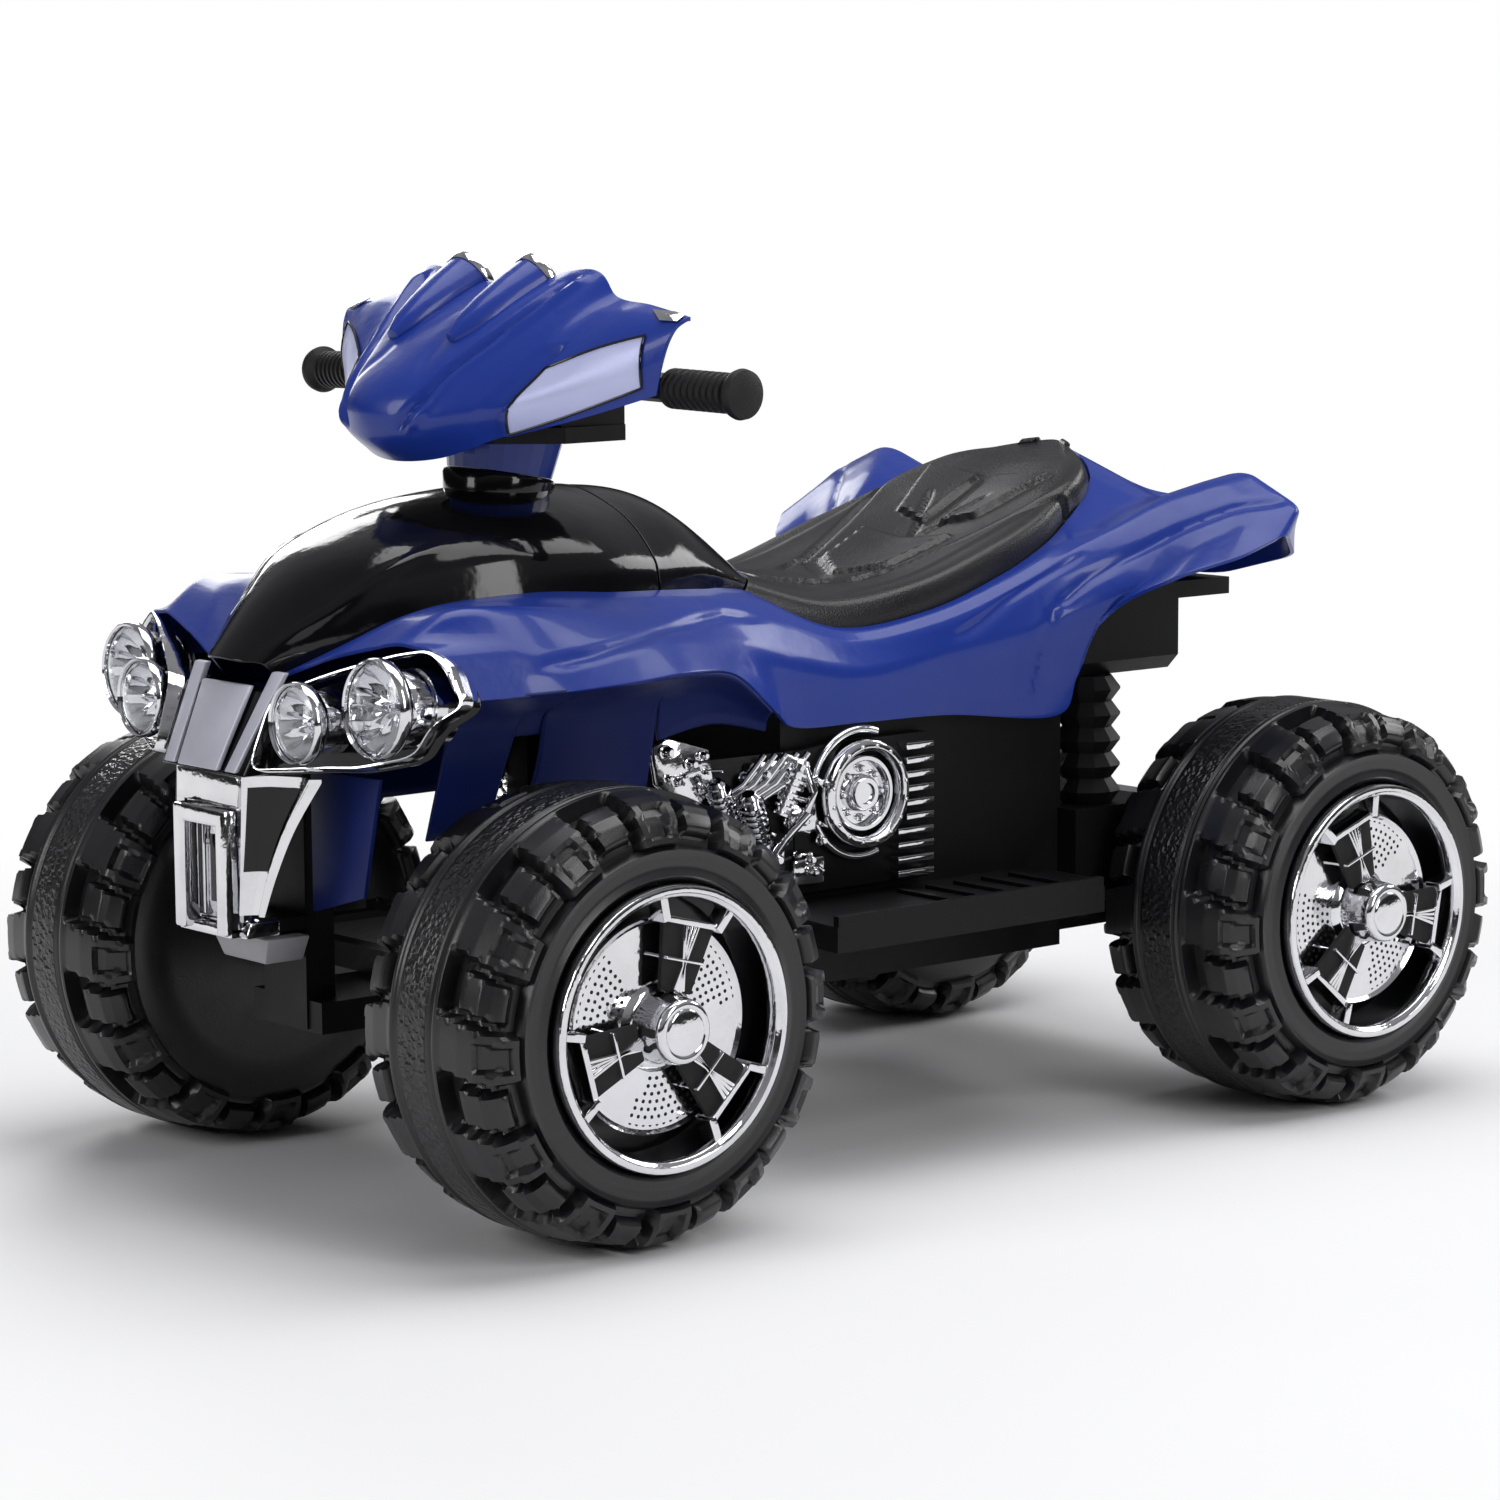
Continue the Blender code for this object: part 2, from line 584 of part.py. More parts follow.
# Wheels
def tyre_columns():
    """Angles round the tyre, and how far the tread stands in there: beside the band, and out on the shoulder."""
    pitch = 360 / TREAD_PITCHES
    half = BLOCK_ANGLE / 2
    groove = (pitch - 2 * BLOCK_ANGLE) / 4
    level = [(-half, 0, 0), (half, 0, 0), (half + groove, TYRE_GROOVE_DEPTH, TYRE_GROOVE_DEPTH)]
    level += [(pitch / 2 - half, TYRE_GROOVE_DEPTH, BAR_SINK), (pitch / 2 + half, TYRE_GROOVE_DEPTH, BAR_SINK)]
    level.append((pitch - half - groove, TYRE_GROOVE_DEPTH, TYRE_GROOVE_DEPTH))
    return [(radians(number * pitch + angle) - pi / 2, near, far) for number in range(TREAD_PITCHES)
            for angle, near, far in level]


def tyre_section(near, far):
    """Half a turn of the tyre wall, as (radius, distance out from the tyre's middle)."""
    band = TYRE_BAND_HALF_WIDTH
    half = TYRE_HALF_WIDTH
    tread = [
        (0.126, half),
        (0.1475 - 0.6 * far, half - 0.0065),
        (0.1595 - far, half - 0.018),
        (TYRE_RADIUS - 0.0025 - far, BAR_START),
        (TYRE_RADIUS - 0.002 - near, band + 0.004),
        (TYRE_RADIUS, band),
    ]
    back = [(radius, -out) for radius, out in reversed(tread[2:])] + [(0.138, -half)]
    bore = bore_radius(AXLE_RADIUS, RUNNING_CLEARANCE, 2 * TREAD_PITCHES)
    inside = [(bore, -half - BOSS_PROUD)]
    dish = [(bore, half - DISH_DEPTH), (TYRE_BEAD_RADIUS - 0.005, half - DISH_DEPTH), (TYRE_BEAD_RADIUS, half - 0.005)]
    return dish + tread + back + inside


def tyre_shape(side):
    """A blow-moulded tyre: blocks and lower bars by turns on its shoulders, a centre band and a dish for its trim."""
    rings = []
    shape = bmesh.new()
    for angle, near, far in tyre_columns():
        rings.append([shape.verts.new((side * out, radius * cos(angle), radius * sin(angle)))
                      for radius, out in tyre_section(near, far)])
    for ring, after in zip(rings, rings[1:] + rings[:1]):
        for a, b, c, d in zip(ring, ring[1:] + ring[:1], after[1:] + after[:1], after):
            shape.faces.new((a, b, c, d))
    return shape


def trim_shape(side):
    """A plated wheel trim: rim ring, three ladder spokes, a set-back disc and a long hub."""
    ring_radius = TYRE_BEAD_RADIUS - 0.0008
    back = TYRE_HALF_WIDTH - DISH_DEPTH + 0.0045
    ring = turned([
        (ring_radius, TRIM_FACE - 0.002), (ring_radius - 0.0045, TRIM_FACE), (0.0870, TRIM_FACE - 0.002),
        (ring_radius - 0.009, back), (ring_radius - 0.0045, back), (ring_radius, TYRE_HALF_WIDTH - 0.005),
    ], 24)
    disc_face = TRIM_FACE - 0.022
    hub = turned([
        (0, HUB_FACE), (HUB_RADIUS - 0.002, HUB_FACE), (HUB_RADIUS, HUB_FACE - 0.002), (HUB_RADIUS + 0.003, back),
        (RETAINER_RADIUS + 0.004, back), (RETAINER_RADIUS + 0.004, HUB_FACE - 0.010), (0, HUB_FACE - 0.010),
    ], 12)
    disc = turned([(HUB_RADIUS, disc_face - 0.003), (0.0955, disc_face - 0.003), (0.0955, disc_face),
                   (HUB_RADIUS, disc_face)], 16)
    solids = [ring, disc, hub]
    cuts = []
    for spoke in range(SPOKE_COUNT):
        turn = Matrix.Rotation(2 * pi * spoke / SPOKE_COUNT + radians(20), 4, "X")
        wedge = prism([(-0.013, HUB_RADIUS - 0.003), (0.013, HUB_RADIUS - 0.003), (0.019, 0.0935), (-0.019, 0.0935)],
                      "X", disc_face - 0.002, TRIM_FACE - 0.004)
        inner_window = prism([(-0.0095, 0.031), (0.0095, 0.031), (0.0115, 0.059), (-0.0115, 0.059)],
                             "X", disc_face + 0.002, TRIM_FACE)
        outer_window = prism([(-0.0120, 0.064), (0.0120, 0.064), (0.0140, 0.084), (-0.0140, 0.084)],
                             "X", disc_face - 0.010, TRIM_FACE)
        for shape in (wedge, inner_window, outer_window):
            bmesh.ops.transform(shape, verts=shape.verts, matrix=turn)
        solids.append(wedge)
        cuts += [inner_window, outer_window]
    shape = fused(solids, cuts)
    if side < 0:
        mirrored(shape)
    return shape


def axle_end():
    """Profile of an axle's end, measured out from the car's middle: bar, pressed-on collar and tip."""
    seat = HALF_TRACK + TYRE_HALF_WIDTH - DISH_DEPTH + CLEARANCE
    return [(AXLE_RADIUS, seat), (RETAINER_RADIUS, seat), (RETAINER_RADIUS, seat + RETAINER_THICKNESS),
            (AXLE_RADIUS, seat + RETAINER_THICKNESS), (AXLE_RADIUS, AXLE_TIP), (0, AXLE_TIP)]


def make_wheels():
    """Four wheels, each a tyre with a trim pressed into its dish."""
    for end, y in (("front", FRONT), ("rear", REAR)):
        for side in (1, -1):
            centre = Vector((side * HALF_TRACK, y, 0))
            for name, maker, look in (("tyre", tyre_shape, "tyre_plastic"), ("wheel_trim", trim_shape, "chrome")):
                shape = maker(side)
                bmesh.ops.translate(shape, verts=shape.verts, vec=centre)
                piece(f"{name}_{end}_{side_name(side)}", shape, look, centre, 30)


# Front axle and steering
def make_front_axle():
    """A square steel beam with a yoke at each end for the steering knuckles."""
    half_gap = YOKE_GAP / 2
    reach = KINGPIN_HALF_SPACING
    inner = reach - KNUCKLE_BARREL_RADIUS - 0.004
    solids = [block((-inner, FRONT - 0.008, -0.010), (inner, FRONT + 0.008, 0.010))]
    cuts = []
    for side in (1, -1):
        low, high = sorted((side * (inner - 0.004), side * inner))
        solids.append(block((low, FRONT - 0.010, -half_gap - YOKE_PLATE), (high, FRONT + 0.010, half_gap + YOKE_PLATE)))
        low, high = sorted((side * (inner - 0.002), side * (reach + 0.009)))
        for level in (-half_gap - YOKE_PLATE, half_gap):
            solids.append(block((low, FRONT - 0.010, level), (high, FRONT + 0.010, level + YOKE_PLATE)))
        cuts.append(rod((side * reach, FRONT, -0.040), (side * reach, FRONT, 0.040),
                        bore_radius(KINGPIN_RADIUS, RUNNING_CLEARANCE)))
    piece("front_axle_beam", fused(solids, cuts), "black_steel")


def make_knuckles():
    """Steering knuckles: barrel on its kingpin, stub axle and steering arm."""
    half = KNUCKLE_BARREL_HEIGHT / 2
    pin_reach = YOKE_GAP / 2 + YOKE_PLATE + 0.002
    arm_top = TIE_ROD_HEIGHT - TIE_ROD_THICKNESS / 2 - CLEARANCE
    for side in (1, -1):
        x = side * KINGPIN_HALF_SPACING
        barrel = rod((x, FRONT, -half), (x, FRONT, half), KNUCKLE_BARREL_RADIUS)
        kingpin = rod((x, FRONT, -pin_reach), (x, FRONT, pin_reach), KINGPIN_RADIUS, 8)
        shoulder = HALF_TRACK - TYRE_HALF_WIDTH - BOSS_PROUD - CLEARANCE
        sleeve = RETAINER_RADIUS - 0.001
        stub = turned([(0, KINGPIN_HALF_SPACING), (sleeve, KINGPIN_HALF_SPACING), (sleeve, shoulder),
                       (AXLE_RADIUS, shoulder)] + axle_end(), AXLE_SIDES, (0, FRONT, 0), (side, 0, 0))
        arm = prism([(x - 0.008, FRONT + 0.004), (x + 0.008, FRONT + 0.004),
                     (x + 0.006, FRONT + STEERING_ARM + 0.006), (x - 0.006, FRONT + STEERING_ARM + 0.006)],
                    "Z", arm_top - 0.006, arm_top)
        joint_pin = rod((x, FRONT + STEERING_ARM, arm_top - 0.003),
                        (x, FRONT + STEERING_ARM, TIE_ROD_HEIGHT + TIE_ROD_THICKNESS / 2 + 0.002), TIE_PIN_RADIUS, 8)
        solids = [barrel, kingpin, arm, joint_pin, stub]
        piece(f"steering_knuckle_{side_name(side)}", fused(solids), "black_steel", (x, FRONT, 0))


def make_tie_rod():
    """A flat link between the steering arms, with a slot in the middle for the column's crank pin."""
    y = FRONT + STEERING_ARM
    low = TIE_ROD_HEIGHT - TIE_ROD_THICKNESS / 2
    high = TIE_ROD_HEIGHT + TIE_ROD_THICKNESS / 2
    reach = KINGPIN_HALF_SPACING
    half = TIE_ROD_WIDTH / 2
    bar = block((-reach - 0.008, y - half, low), (reach + 0.008, y + half, high))
    pad = block((-0.016, y - 0.019, low), (0.016, y + 0.012, high))
    pin_half = CRANK_PIN_RADIUS + 0.0012
    slot = block((-pin_half, y - 0.0100, low - 0.002), (pin_half, y + 0.0060, high + 0.002))
    hole = bore_radius(TIE_PIN_RADIUS, RUNNING_CLEARANCE)
    holes = [rod((side * reach, y, low - 0.002), (side * reach, y, high + 0.002), hole) for side in (1, -1)]
    piece("tie_rod", fused([bar, pad], [slot] + holes), "black_steel", (reach, y, TIE_ROD_HEIGHT))


def column_distance_to(height):
    """How far down the column a given height lies."""
    return (COLLAR_HEIGHT - height) / cos(COLUMN_RAKE)


def make_column():
    """The steel column: it turns in the bonnet's bush and the keel, and its crank moves the tie rod."""
    crank = column_distance_to(TIE_ROD_HEIGHT + 0.016)
    foot = column_distance_to(NOSE_BEAM_TOP - 0.012)
    shaft = rod(column_point(foot), column_point(-0.052), COLUMN_RADIUS, 16)
    hub = rod(column_point(crank + 0.003), column_point(crank - 0.003), COLUMN_RADIUS + 0.004)
    corners = [(-0.007, 0.0), (0.007, 0.0), (0.005, CRANK_RADIUS + 0.005), (-0.005, CRANK_RADIUS + 0.005)]
    arm = between([column_point(crank + 0.002, reach, sideways) for sideways, reach in corners],
                  [column_point(crank - 0.002, reach, sideways) for sideways, reach in corners])
    pin = rod(column_point(crank - 0.001, CRANK_RADIUS), column_point(crank + 0.016, CRANK_RADIUS), CRANK_PIN_RADIUS)
    piece("steering_column", fused([shaft, hub, arm, pin]), "black_steel", column_point(0))
    bush = turned([
        (COLUMN_RADIUS + CLEARANCE + 0.0002, -0.012), (COLUMN_RADIUS + 0.0075, -0.012), (COLUMN_RADIUS + 0.0075, 0.0002),
        (COLUMN_RADIUS + CLEARANCE + 0.0002, 0.0002),
    ], 16, column_point(0), COLUMN_LINE)
    piece("column_bush", bush, "black_plastic")


# Handlebar and cowl
BAR_POINTS = (
    (0.268, 0.021, 0.0695), (0.140, 0.011, 0.073), (0.085, 0.010, 0.066), (0.030, 0.0115, 0.054),
    (0.0, 0.0120, 0.0525),
)


def make_handlebar():
    """The bar with its socket over the column, and a ribbed grip with a flared end on each side."""
    points = [carried(point) for point in BAR_POINTS]
    path = points + [Vector((-point.x, point.y, point.z)) for point in reversed(points[:-1])]
    bar = bent_bar(path, HANDLEBAR_RADIUS)
    socket = rod(column_point(-0.0335), column_point(-0.052), 0.0135, 16)
    bore = rod(column_point(-0.020), column_point(-0.0525), COLUMN_RADIUS + CLEARANCE + 0.0001, 16)
    piece("handlebar", fused([bar, socket], [bore]), "black_steel", column_point(0))
    line = points[1] - points[0]
    inner = bore_radius(HANDLEBAR_RADIUS, CLEARANCE)
    profile = [(inner, GRIP_LENGTH), (GRIP_RADIUS, GRIP_LENGTH)]
    for ridge in range(3):
        along = GRIP_LENGTH - 0.020 - 0.018 * ridge
        profile += [(GRIP_RADIUS, along + 0.009), (GRIP_RADIUS + 0.003, along)]
    profile += [(GRIP_RADIUS, 0.010), (GRIP_RADIUS + 0.006, 0.004), (GRIP_RADIUS + 0.005, -0.003), (0.004, -0.006),
                (0.004, -CLEARANCE), (inner, -CLEARANCE)]
    for side in (1, -1):
        start = Vector((side * points[0].x, points[0].y, points[0].z))
        shape = turned(profile, AXLE_SIDES, start, (side * line.x, line.y, line.z))
        piece(f"handlebar_grip_{side_name(side)}", shape, "grip_rubber", column_point(0), 40)


# The cowl's rows, from middle to wing tip and from lip to top, measured from the column's top
COWL_FORM = (
    ((0.000, -0.095, 0.014), (0.045, -0.087, 0.018), (0.085, -0.070, 0.031),
     (0.145, -0.033, 0.049), (0.197, -0.003, 0.067)),
    ((0.000, -0.121, 0.033), (0.052, -0.109, 0.043), (0.092, -0.077, 0.053),
     (0.148, -0.038, 0.070), (0.203, -0.003, 0.087)),
    ((0.000, -0.123, 0.063), (0.060, -0.095, 0.072), (0.105, -0.057, 0.077),
     (0.152, -0.030, 0.090), (0.207, 0.000, 0.105)),
    ((0.000, -0.085, 0.097), (0.072, -0.060, 0.105), (0.118, -0.027, 0.107),
     (0.158, -0.013, 0.113), (0.210, 0.005, 0.117)),
    ((0.000, -0.040, 0.125), (0.085, -0.025, 0.133), (0.125, -0.005, 0.125),
     (0.165, 0.003, 0.127), (0.213, 0.012, 0.123)),
    ((0.000, 0.003, 0.145), (0.101, 0.012, 0.157), (0.130, 0.015, 0.137),
     (0.170, 0.015, 0.132), (0.213, 0.017, 0.124)),
)
COWL_WALL = 0.003


def cowl_rows():
    """Rows of the cowl from wing to wing."""
    rows = [both_sides([carried(point) for point in reversed(row)]) for row in COWL_FORM]
    return eased(rows, (2,) * len(rows))


def on_form(form, row, column):
    """A point on a drawn form, between its rows and columns."""
    i = min(int(row), len(form) - 2)
    j = min(int(column), len(form[0]) - 2)
    u = row - i
    v = column - j
    near = Vector(form[i][j]).lerp(Vector(form[i][j + 1]), v)
    far = Vector(form[i + 1][j]).lerp(Vector(form[i + 1][j + 1]), v)
    return near.lerp(far, u)


def make_cowl():
    """The blue cowl turns with the bar, with a pale panel let into each side."""
    piece("cowl", walled(cowl_rows(), COWL_WALL), "blue_plastic", column_point(0), 40)
    corners = [(0.55, 2.05), (0.75, 3.75), (2.65, 3.75), (2.85, 2.75), (2.2, 2.2)]
    for side in (1, -1):
        outline = [carried(on_form(COWL_FORM, row, column)) for row, column in corners]
        for point in outline:
            point.x *= side
        middle = sum(outline, Vector()) / len(outline)
        facing = (outline[1] - outline[0]).cross(outline[2] - outline[0]).normalized()
        if facing.y > 0:
            facing = -facing
        flat = [point - facing * (point - middle).dot(facing) for point in outline]
        spread = [carried(on_form(COWL_FORM, row / 4, column / 4)) for row in range(2, 12) for column in range(8, 16)]
        proud = max((Vector((point.x * side, point.y, point.z)) - middle).dot(facing) for point in spread)
        plate = between([point for point in flat], [point + facing * (proud + 0.002) for point in flat])
        shape = fused([plate], [walled(cowl_rows(), 0.010, -2 * CLEARANCE)])
        piece(f"cowl_panel_{side_name(side)}", shape, "lavender_plastic", column_point(0))


def cowl_envelope():
    """Everything outside the cowl's inner face, to cut what seats inside it."""
    return walled(cowl_rows(), -0.030, COWL_WALL + 2 * CLEARANCE)


def make_steering_covers():
    """The neck on the bonnet, the black housing under the cowl, the dash and the two gauge hoods."""
    bore = COLUMN_RADIUS + CLEARANCE + 0.0002
    neck = turned([
        (bore, RUNNING_CLEARANCE), (NECK_TOP_RADIUS - 0.0045, RUNNING_CLEARANCE), (NECK_TOP_RADIUS, NECK_HEIGHT),
        (bore, NECK_HEIGHT),
    ], 24, column_point(0), COLUMN_LINE)
    piece("steering_neck", neck, "blue_plastic", column_point(0))

    bar_path = [carried(point) for point in BAR_POINTS]
    bar_path += [Vector((-point.x, point.y, point.z)) for point in reversed(bar_path[:-1])]
    floor_low = COLLAR_HEIGHT + NECK_HEIGHT + 0.0005
    half_plan = [(0.106, 0.040), (0.110, -0.020), (0.075, -0.060), (0.030, -0.080)]
    plan = [(x, COLUMN_TOP_Y + y) for x, y in half_plan]
    plan += [(-x, y) for x, y in reversed(plan)]
    solids = [prism(plan, "Z", floor_low, floor_low + 0.012)]
    cheek = [(-0.020, floor_low + 0.006), (0.040, floor_low + 0.006), (0.040, COLLAR_HEIGHT + 0.070),
             (-0.070, COLLAR_HEIGHT + 0.070), (-0.070, COLLAR_HEIGHT + 0.055), (-0.020, COLLAR_HEIGHT + 0.042)]
    cheek = [(COLUMN_TOP_Y + y, height) for y, height in cheek]
    for side in (1, -1):
        low, high = sorted((side * 0.094, side * 0.105))
        solids.append(prism(cheek, "X", low, high))
    cuts = [
        cowl_envelope(),
        rod(column_point(-0.005), column_point(-NECK_HEIGHT - CLEARANCE), NECK_TOP_RADIUS + 0.008, 24),
        rod(column_point(-0.020), column_point(-0.062), 0.0135 + RUNNING_CLEARANCE, 16),
        bent_bar(bar_path, HANDLEBAR_RADIUS + CLEARANCE + 0.0002),
    ]
    piece("lower_cowl", fused(solids, cuts), "black_plastic", column_point(0))

    dash = prism(DASH_OUTLINE, "X", -DASH_HALF_WIDTH, DASH_HALF_WIDTH)
    legs = []
    for side in (1, -1):
        low, high = sorted((side * 0.052, side * 0.070))
        legs.append(block(carried((low, 0.001, 0.062)), carried((high, 0.029, 0.092))))
    wells = [rod(dash_point(x, y, 0.004), dash_point(x, y, -0.0080), BUTTON_RADIUS + 2 * CLEARANCE, 12)
             for x, y in BUTTON_PLACES]
    wells += [switch_block(x, y, 2 * CLEARANCE, -0.0080, 0.004) for x, y in SWITCH_PLACES]
    wells += [cowl_envelope(), bent_bar(bar_path, HANDLEBAR_RADIUS + 2 * CLEARANCE)]
    piece("dash_panel", fused([dash] + legs, wells), "black_plastic", column_point(0))

    hoods = []
    for side in (1, -1):
        hoods.append(turned([
            (0, 0), (0.021, 0), (0.024, 0.003), (0.024, 0.026), (0.0215, 0.026), (0.0215, 0.018), (0, 0.018),
        ], 14, carried((side * 0.040, 0.0145, 0.139)), (0, 0.97, 0.24)))
    bridge_front = carried((-0.078, 0.013, 0.114))
    bridge = block(bridge_front, (0.078, DASH_FRONT - CLEARANCE, bridge_front.z + 0.018))
    dash_room = prism([(y - CLEARANCE, z + 2 * CLEARANCE) for y, z in DASH_OUTLINE[:2]]
                      + [(y + 0.002, z) for y, z in DASH_OUTLINE[2:]], "X", -DASH_HALF_WIDTH, DASH_HALF_WIDTH)
    piece("gauge_cluster", fused([bridge] + hoods, [cowl_envelope(), dash_room]), "blue_plastic", column_point(0))


def dash_point(x, share, above):
    """A point on the dash's sloping face, lifted off it by a height."""
    near = Vector((x, DASH_OUTLINE[0][0], DASH_OUTLINE[0][1]))
    far = Vector((x, DASH_OUTLINE[3][0], DASH_OUTLINE[3][1]))
    return near.lerp(far, share) + Vector((0, sin(DASH_SLOPE), cos(DASH_SLOPE))) * above


def switch_block(x, share, margin, low, high):
    """A block square to the dash's face."""
    wide, deep = SWITCH_SIZE
    shape = block((-wide / 2 - margin, -deep / 2 - margin, low), (wide / 2 + margin, deep / 2 + margin, high))
    turn = Matrix.Translation(dash_point(x, share, 0)) @ Matrix.Rotation(-DASH_SLOPE, 4, "X")
    bmesh.ops.transform(shape, verts=shape.verts, matrix=turn)
    return shape


def make_controls():
    """Two push buttons and two rocker switches in the dash."""
    for name, (x, share) in zip(("horn_button", "music_button"), BUTTON_PLACES):
        shape = turned([(0, 0), (BUTTON_RADIUS, 0), (BUTTON_RADIUS, 0.0065), (BUTTON_RADIUS - 0.0015, 0.0085), (0, 0.0085)],
                       12, dash_point(x, share, -0.0045), dash_point(x, share, 1) - dash_point(x, share, 0))
        piece(name, shape, "red_plastic", dash_point(x, share, 0))
    for name, (x, share) in zip(("power_switch", "direction_switch"), SWITCH_PLACES):
        wide, deep = SWITCH_SIZE
        half = deep / 2 - 0.0007
        outline = [(-half, 0.0038), (-half, -0.0010), (0, -0.0050), (half, -0.0010), (half, 0.0038), (0, 0.0020)]
        shape = prism(outline, "X", -wide / 2, wide / 2)
        turn = Matrix.Translation(dash_point(x, share, 0)) @ Matrix.Rotation(-DASH_SLOPE, 4, "X")
        bmesh.ops.transform(shape, verts=shape.verts, matrix=turn)
        piece(name, shape, "red_plastic", dash_point(x, share, 0))


# Nose, lamps and bumper
LAMP_OUTLINE = ((0.0605, 0.172), (0.0660, 0.226), (0.112, 0.246), (0.156, 0.260), (0.183, 0.265), (0.205, 0.254),
                (0.221, 0.228), (0.199, 0.212), (0.190, 0.189), (0.148, 0.178), (0.120, 0.177))
LAMP_BAND = 0.0055
LAMP_DEPTH = 0.012
LAMPS = (("inner", (0.103, 0.2090), 0.0310, 0.022, 0.012), ("outer", (0.163, 0.2230), 0.0375, 0.028, 0.019))
LAMP_BARREL = 0.030


def lamp_point(x, height, forward=0.0):
    """A point on the plane of the headlamp frame, moved forward along its facing."""
    base = LAMP_PLANE_POINT
    y = base.y + (LAMP_FACING.x * (x - base.x) + LAMP_FACING.z * (height - base.z)) / -LAMP_FACING.y
    return Vector((x, y, height)) + LAMP_FACING * forward


def inset(outline, band):
    """An outline drawn in by a band, corner by corner."""
    result = []
    for number, (x, z) in enumerate(outline):
        before = Vector(outline[number - 1])
        after = Vector(outline[(number + 1) % len(outline)])
        here = Vector((x, z))
        first = (here - before).normalized()
        second = (after - here).normalized()
        normal = Vector((first.y + second.y, -first.x - second.x)).normalized()
        result.append(here + normal * band / max(0.6, normal.dot(Vector((first.y, -first.x)))))
    return [(point.x, point.y) for point in result]


def lamp_plate(outline, front, back):
    """A plate square to the headlamp's facing."""
    return between([lamp_point(x, z, back) for x, z in outline], [lamp_point(x, z, front) for x, z in outline])


def make_headlamps():
    """On each side a plated frame, and a black carrier with two lamp barrels, each with a clear lens."""
    inner = inset(LAMP_OUTLINE, LAMP_BAND)
    plate = inset(LAMP_OUTLINE, 0.0015)
    for side in (1, -1):
        name = side_name(side)
        frame = lamp_plate(LAMP_OUTLINE, 0.0, -LAMP_DEPTH)
        window = lamp_plate(inner, 0.01, -LAMP_DEPTH - 0.01)
        shapes = {f"headlamp_frame_{name}": (fused([frame], [window]), "chrome")}
        back = -LAMP_DEPTH - CLEARANCE
        solids = [lamp_plate(plate, back, back - 0.003)]
        for lamp, (x, height), bezel, cup, proud in LAMPS:
            mouth = lamp_point(x, height) + LAMP_AIM * proud
            lip = bezel - 0.003
            solids.append(turned([
                (0, -LAMP_BARREL - proud), (cup, -LAMP_BARREL - proud), (cup, 0), (bezel, 0.004), (bezel, 0.012),
                (lip, 0.012), (lip, 0.0075), (0.008, -0.008), (0, -0.008),
            ], 14, mouth, LAMP_AIM))
            rim = lip - 2 * CLEARANCE
            lens = turned([(0, 0.0083), (rim, 0.0083), (rim, 0.0105), (0, 0.0145)], 14, mouth, LAMP_AIM)
            shapes[f"headlamp_lens_{lamp}_{name}"] = (lens, "clear_plastic")
        shapes[f"headlamp_unit_{name}"] = (fused(solids), "black_gloss")
        for title, (shape, look) in shapes.items():
            if side < 0:
                mirrored(shape)
            piece(title, shape, look, sharp=40)


def slab(half_width, front, back, height):
    """The four corners of a level rectangle."""
    return [(-half_width, front, height), (half_width, front, height), (half_width, back, height), (-half_width, back, height)]


def make_nose():
    """A black nose block with a bare pale panel, the plated bumper and a grey skid plate."""
    panel_low = NOSE_LOW + 0.002
    lean = (NOSE_FRONT_TOP - NOSE_FRONT_LOW) / (NOSE_TOP - panel_low)
    front_low = NOSE_FRONT_LOW + NOSE_PANEL + CLEARANCE - lean * (panel_low - NOSE_LOW)
    front_top = front_low + lean * (NOSE_FRAME_TOP - NOSE_LOW)
    nose = between(slab(0.0550, front_low, NOSE_BACK, NOSE_LOW), slab(0.0612, front_top, NOSE_BACK, NOSE_FRAME_TOP))
    piece("nose_frame", nose, "black_gloss")
    panel = between(slab(0.024, NOSE_FRONT_LOW, NOSE_FRONT_LOW + NOSE_PANEL, panel_low),
                    slab(0.032, NOSE_FRONT_TOP, NOSE_FRONT_TOP + NOSE_PANEL, NOSE_TOP))
    piece("nose_panel", panel, "lavender_plastic")

    top = NOSE_LOW - CLEARANCE
    front = BUMPER_FRONT
    solids = [
        block((-0.040, front, top - 0.030), (0.040, front + 0.030, top)),
        block((-0.040, front + 0.010, STEP_LOW), (0.040, front + STEP_DEPTH, STEP_LOW + 0.012)),
        block((-0.034, NOSE_FRONT_LOW, 0.127), (0.034, front + 0.012, 0.140)),
    ]
    for side in (1, -1):
        low_x, high_x = sorted((side * 0.020, side * 0.034))
        solids.append(block((low_x, NOSE_FRONT_LOW, STEP_LOW + 0.002), (high_x, front + 0.012, 0.132)))
        low_x, high_x = sorted((side * 0.005, side * 0.009))
        solids.append(block((low_x, front + 0.004, STEP_LOW + 0.002), (high_x, front + 0.013, top - 0.020)))
        wing = [(side * 0.031, front - 0.002, top - 0.002), (side * 0.095, front + 0.036, top - 0.002),
                (side * 0.052, front + 0.006, 0.064), (side * 0.031, front - 0.002, 0.064)]
        rear = [(x, y + 0.010, z) for x, y, z in wing]
        solids.append(between(wing, rear))
    piece("front_bumper", fused(solids), "chrome")
    skid_back = NOSE_BACK - CLEARANCE
    skid_top = STEP_LOW - CLEARANCE
    skid = between(slab(0.028, front + 0.030, skid_back, skid_top - 0.018), slab(0.038, front + 0.026, skid_back, skid_top))
    piece("skid_plate", skid, "grey_plastic")


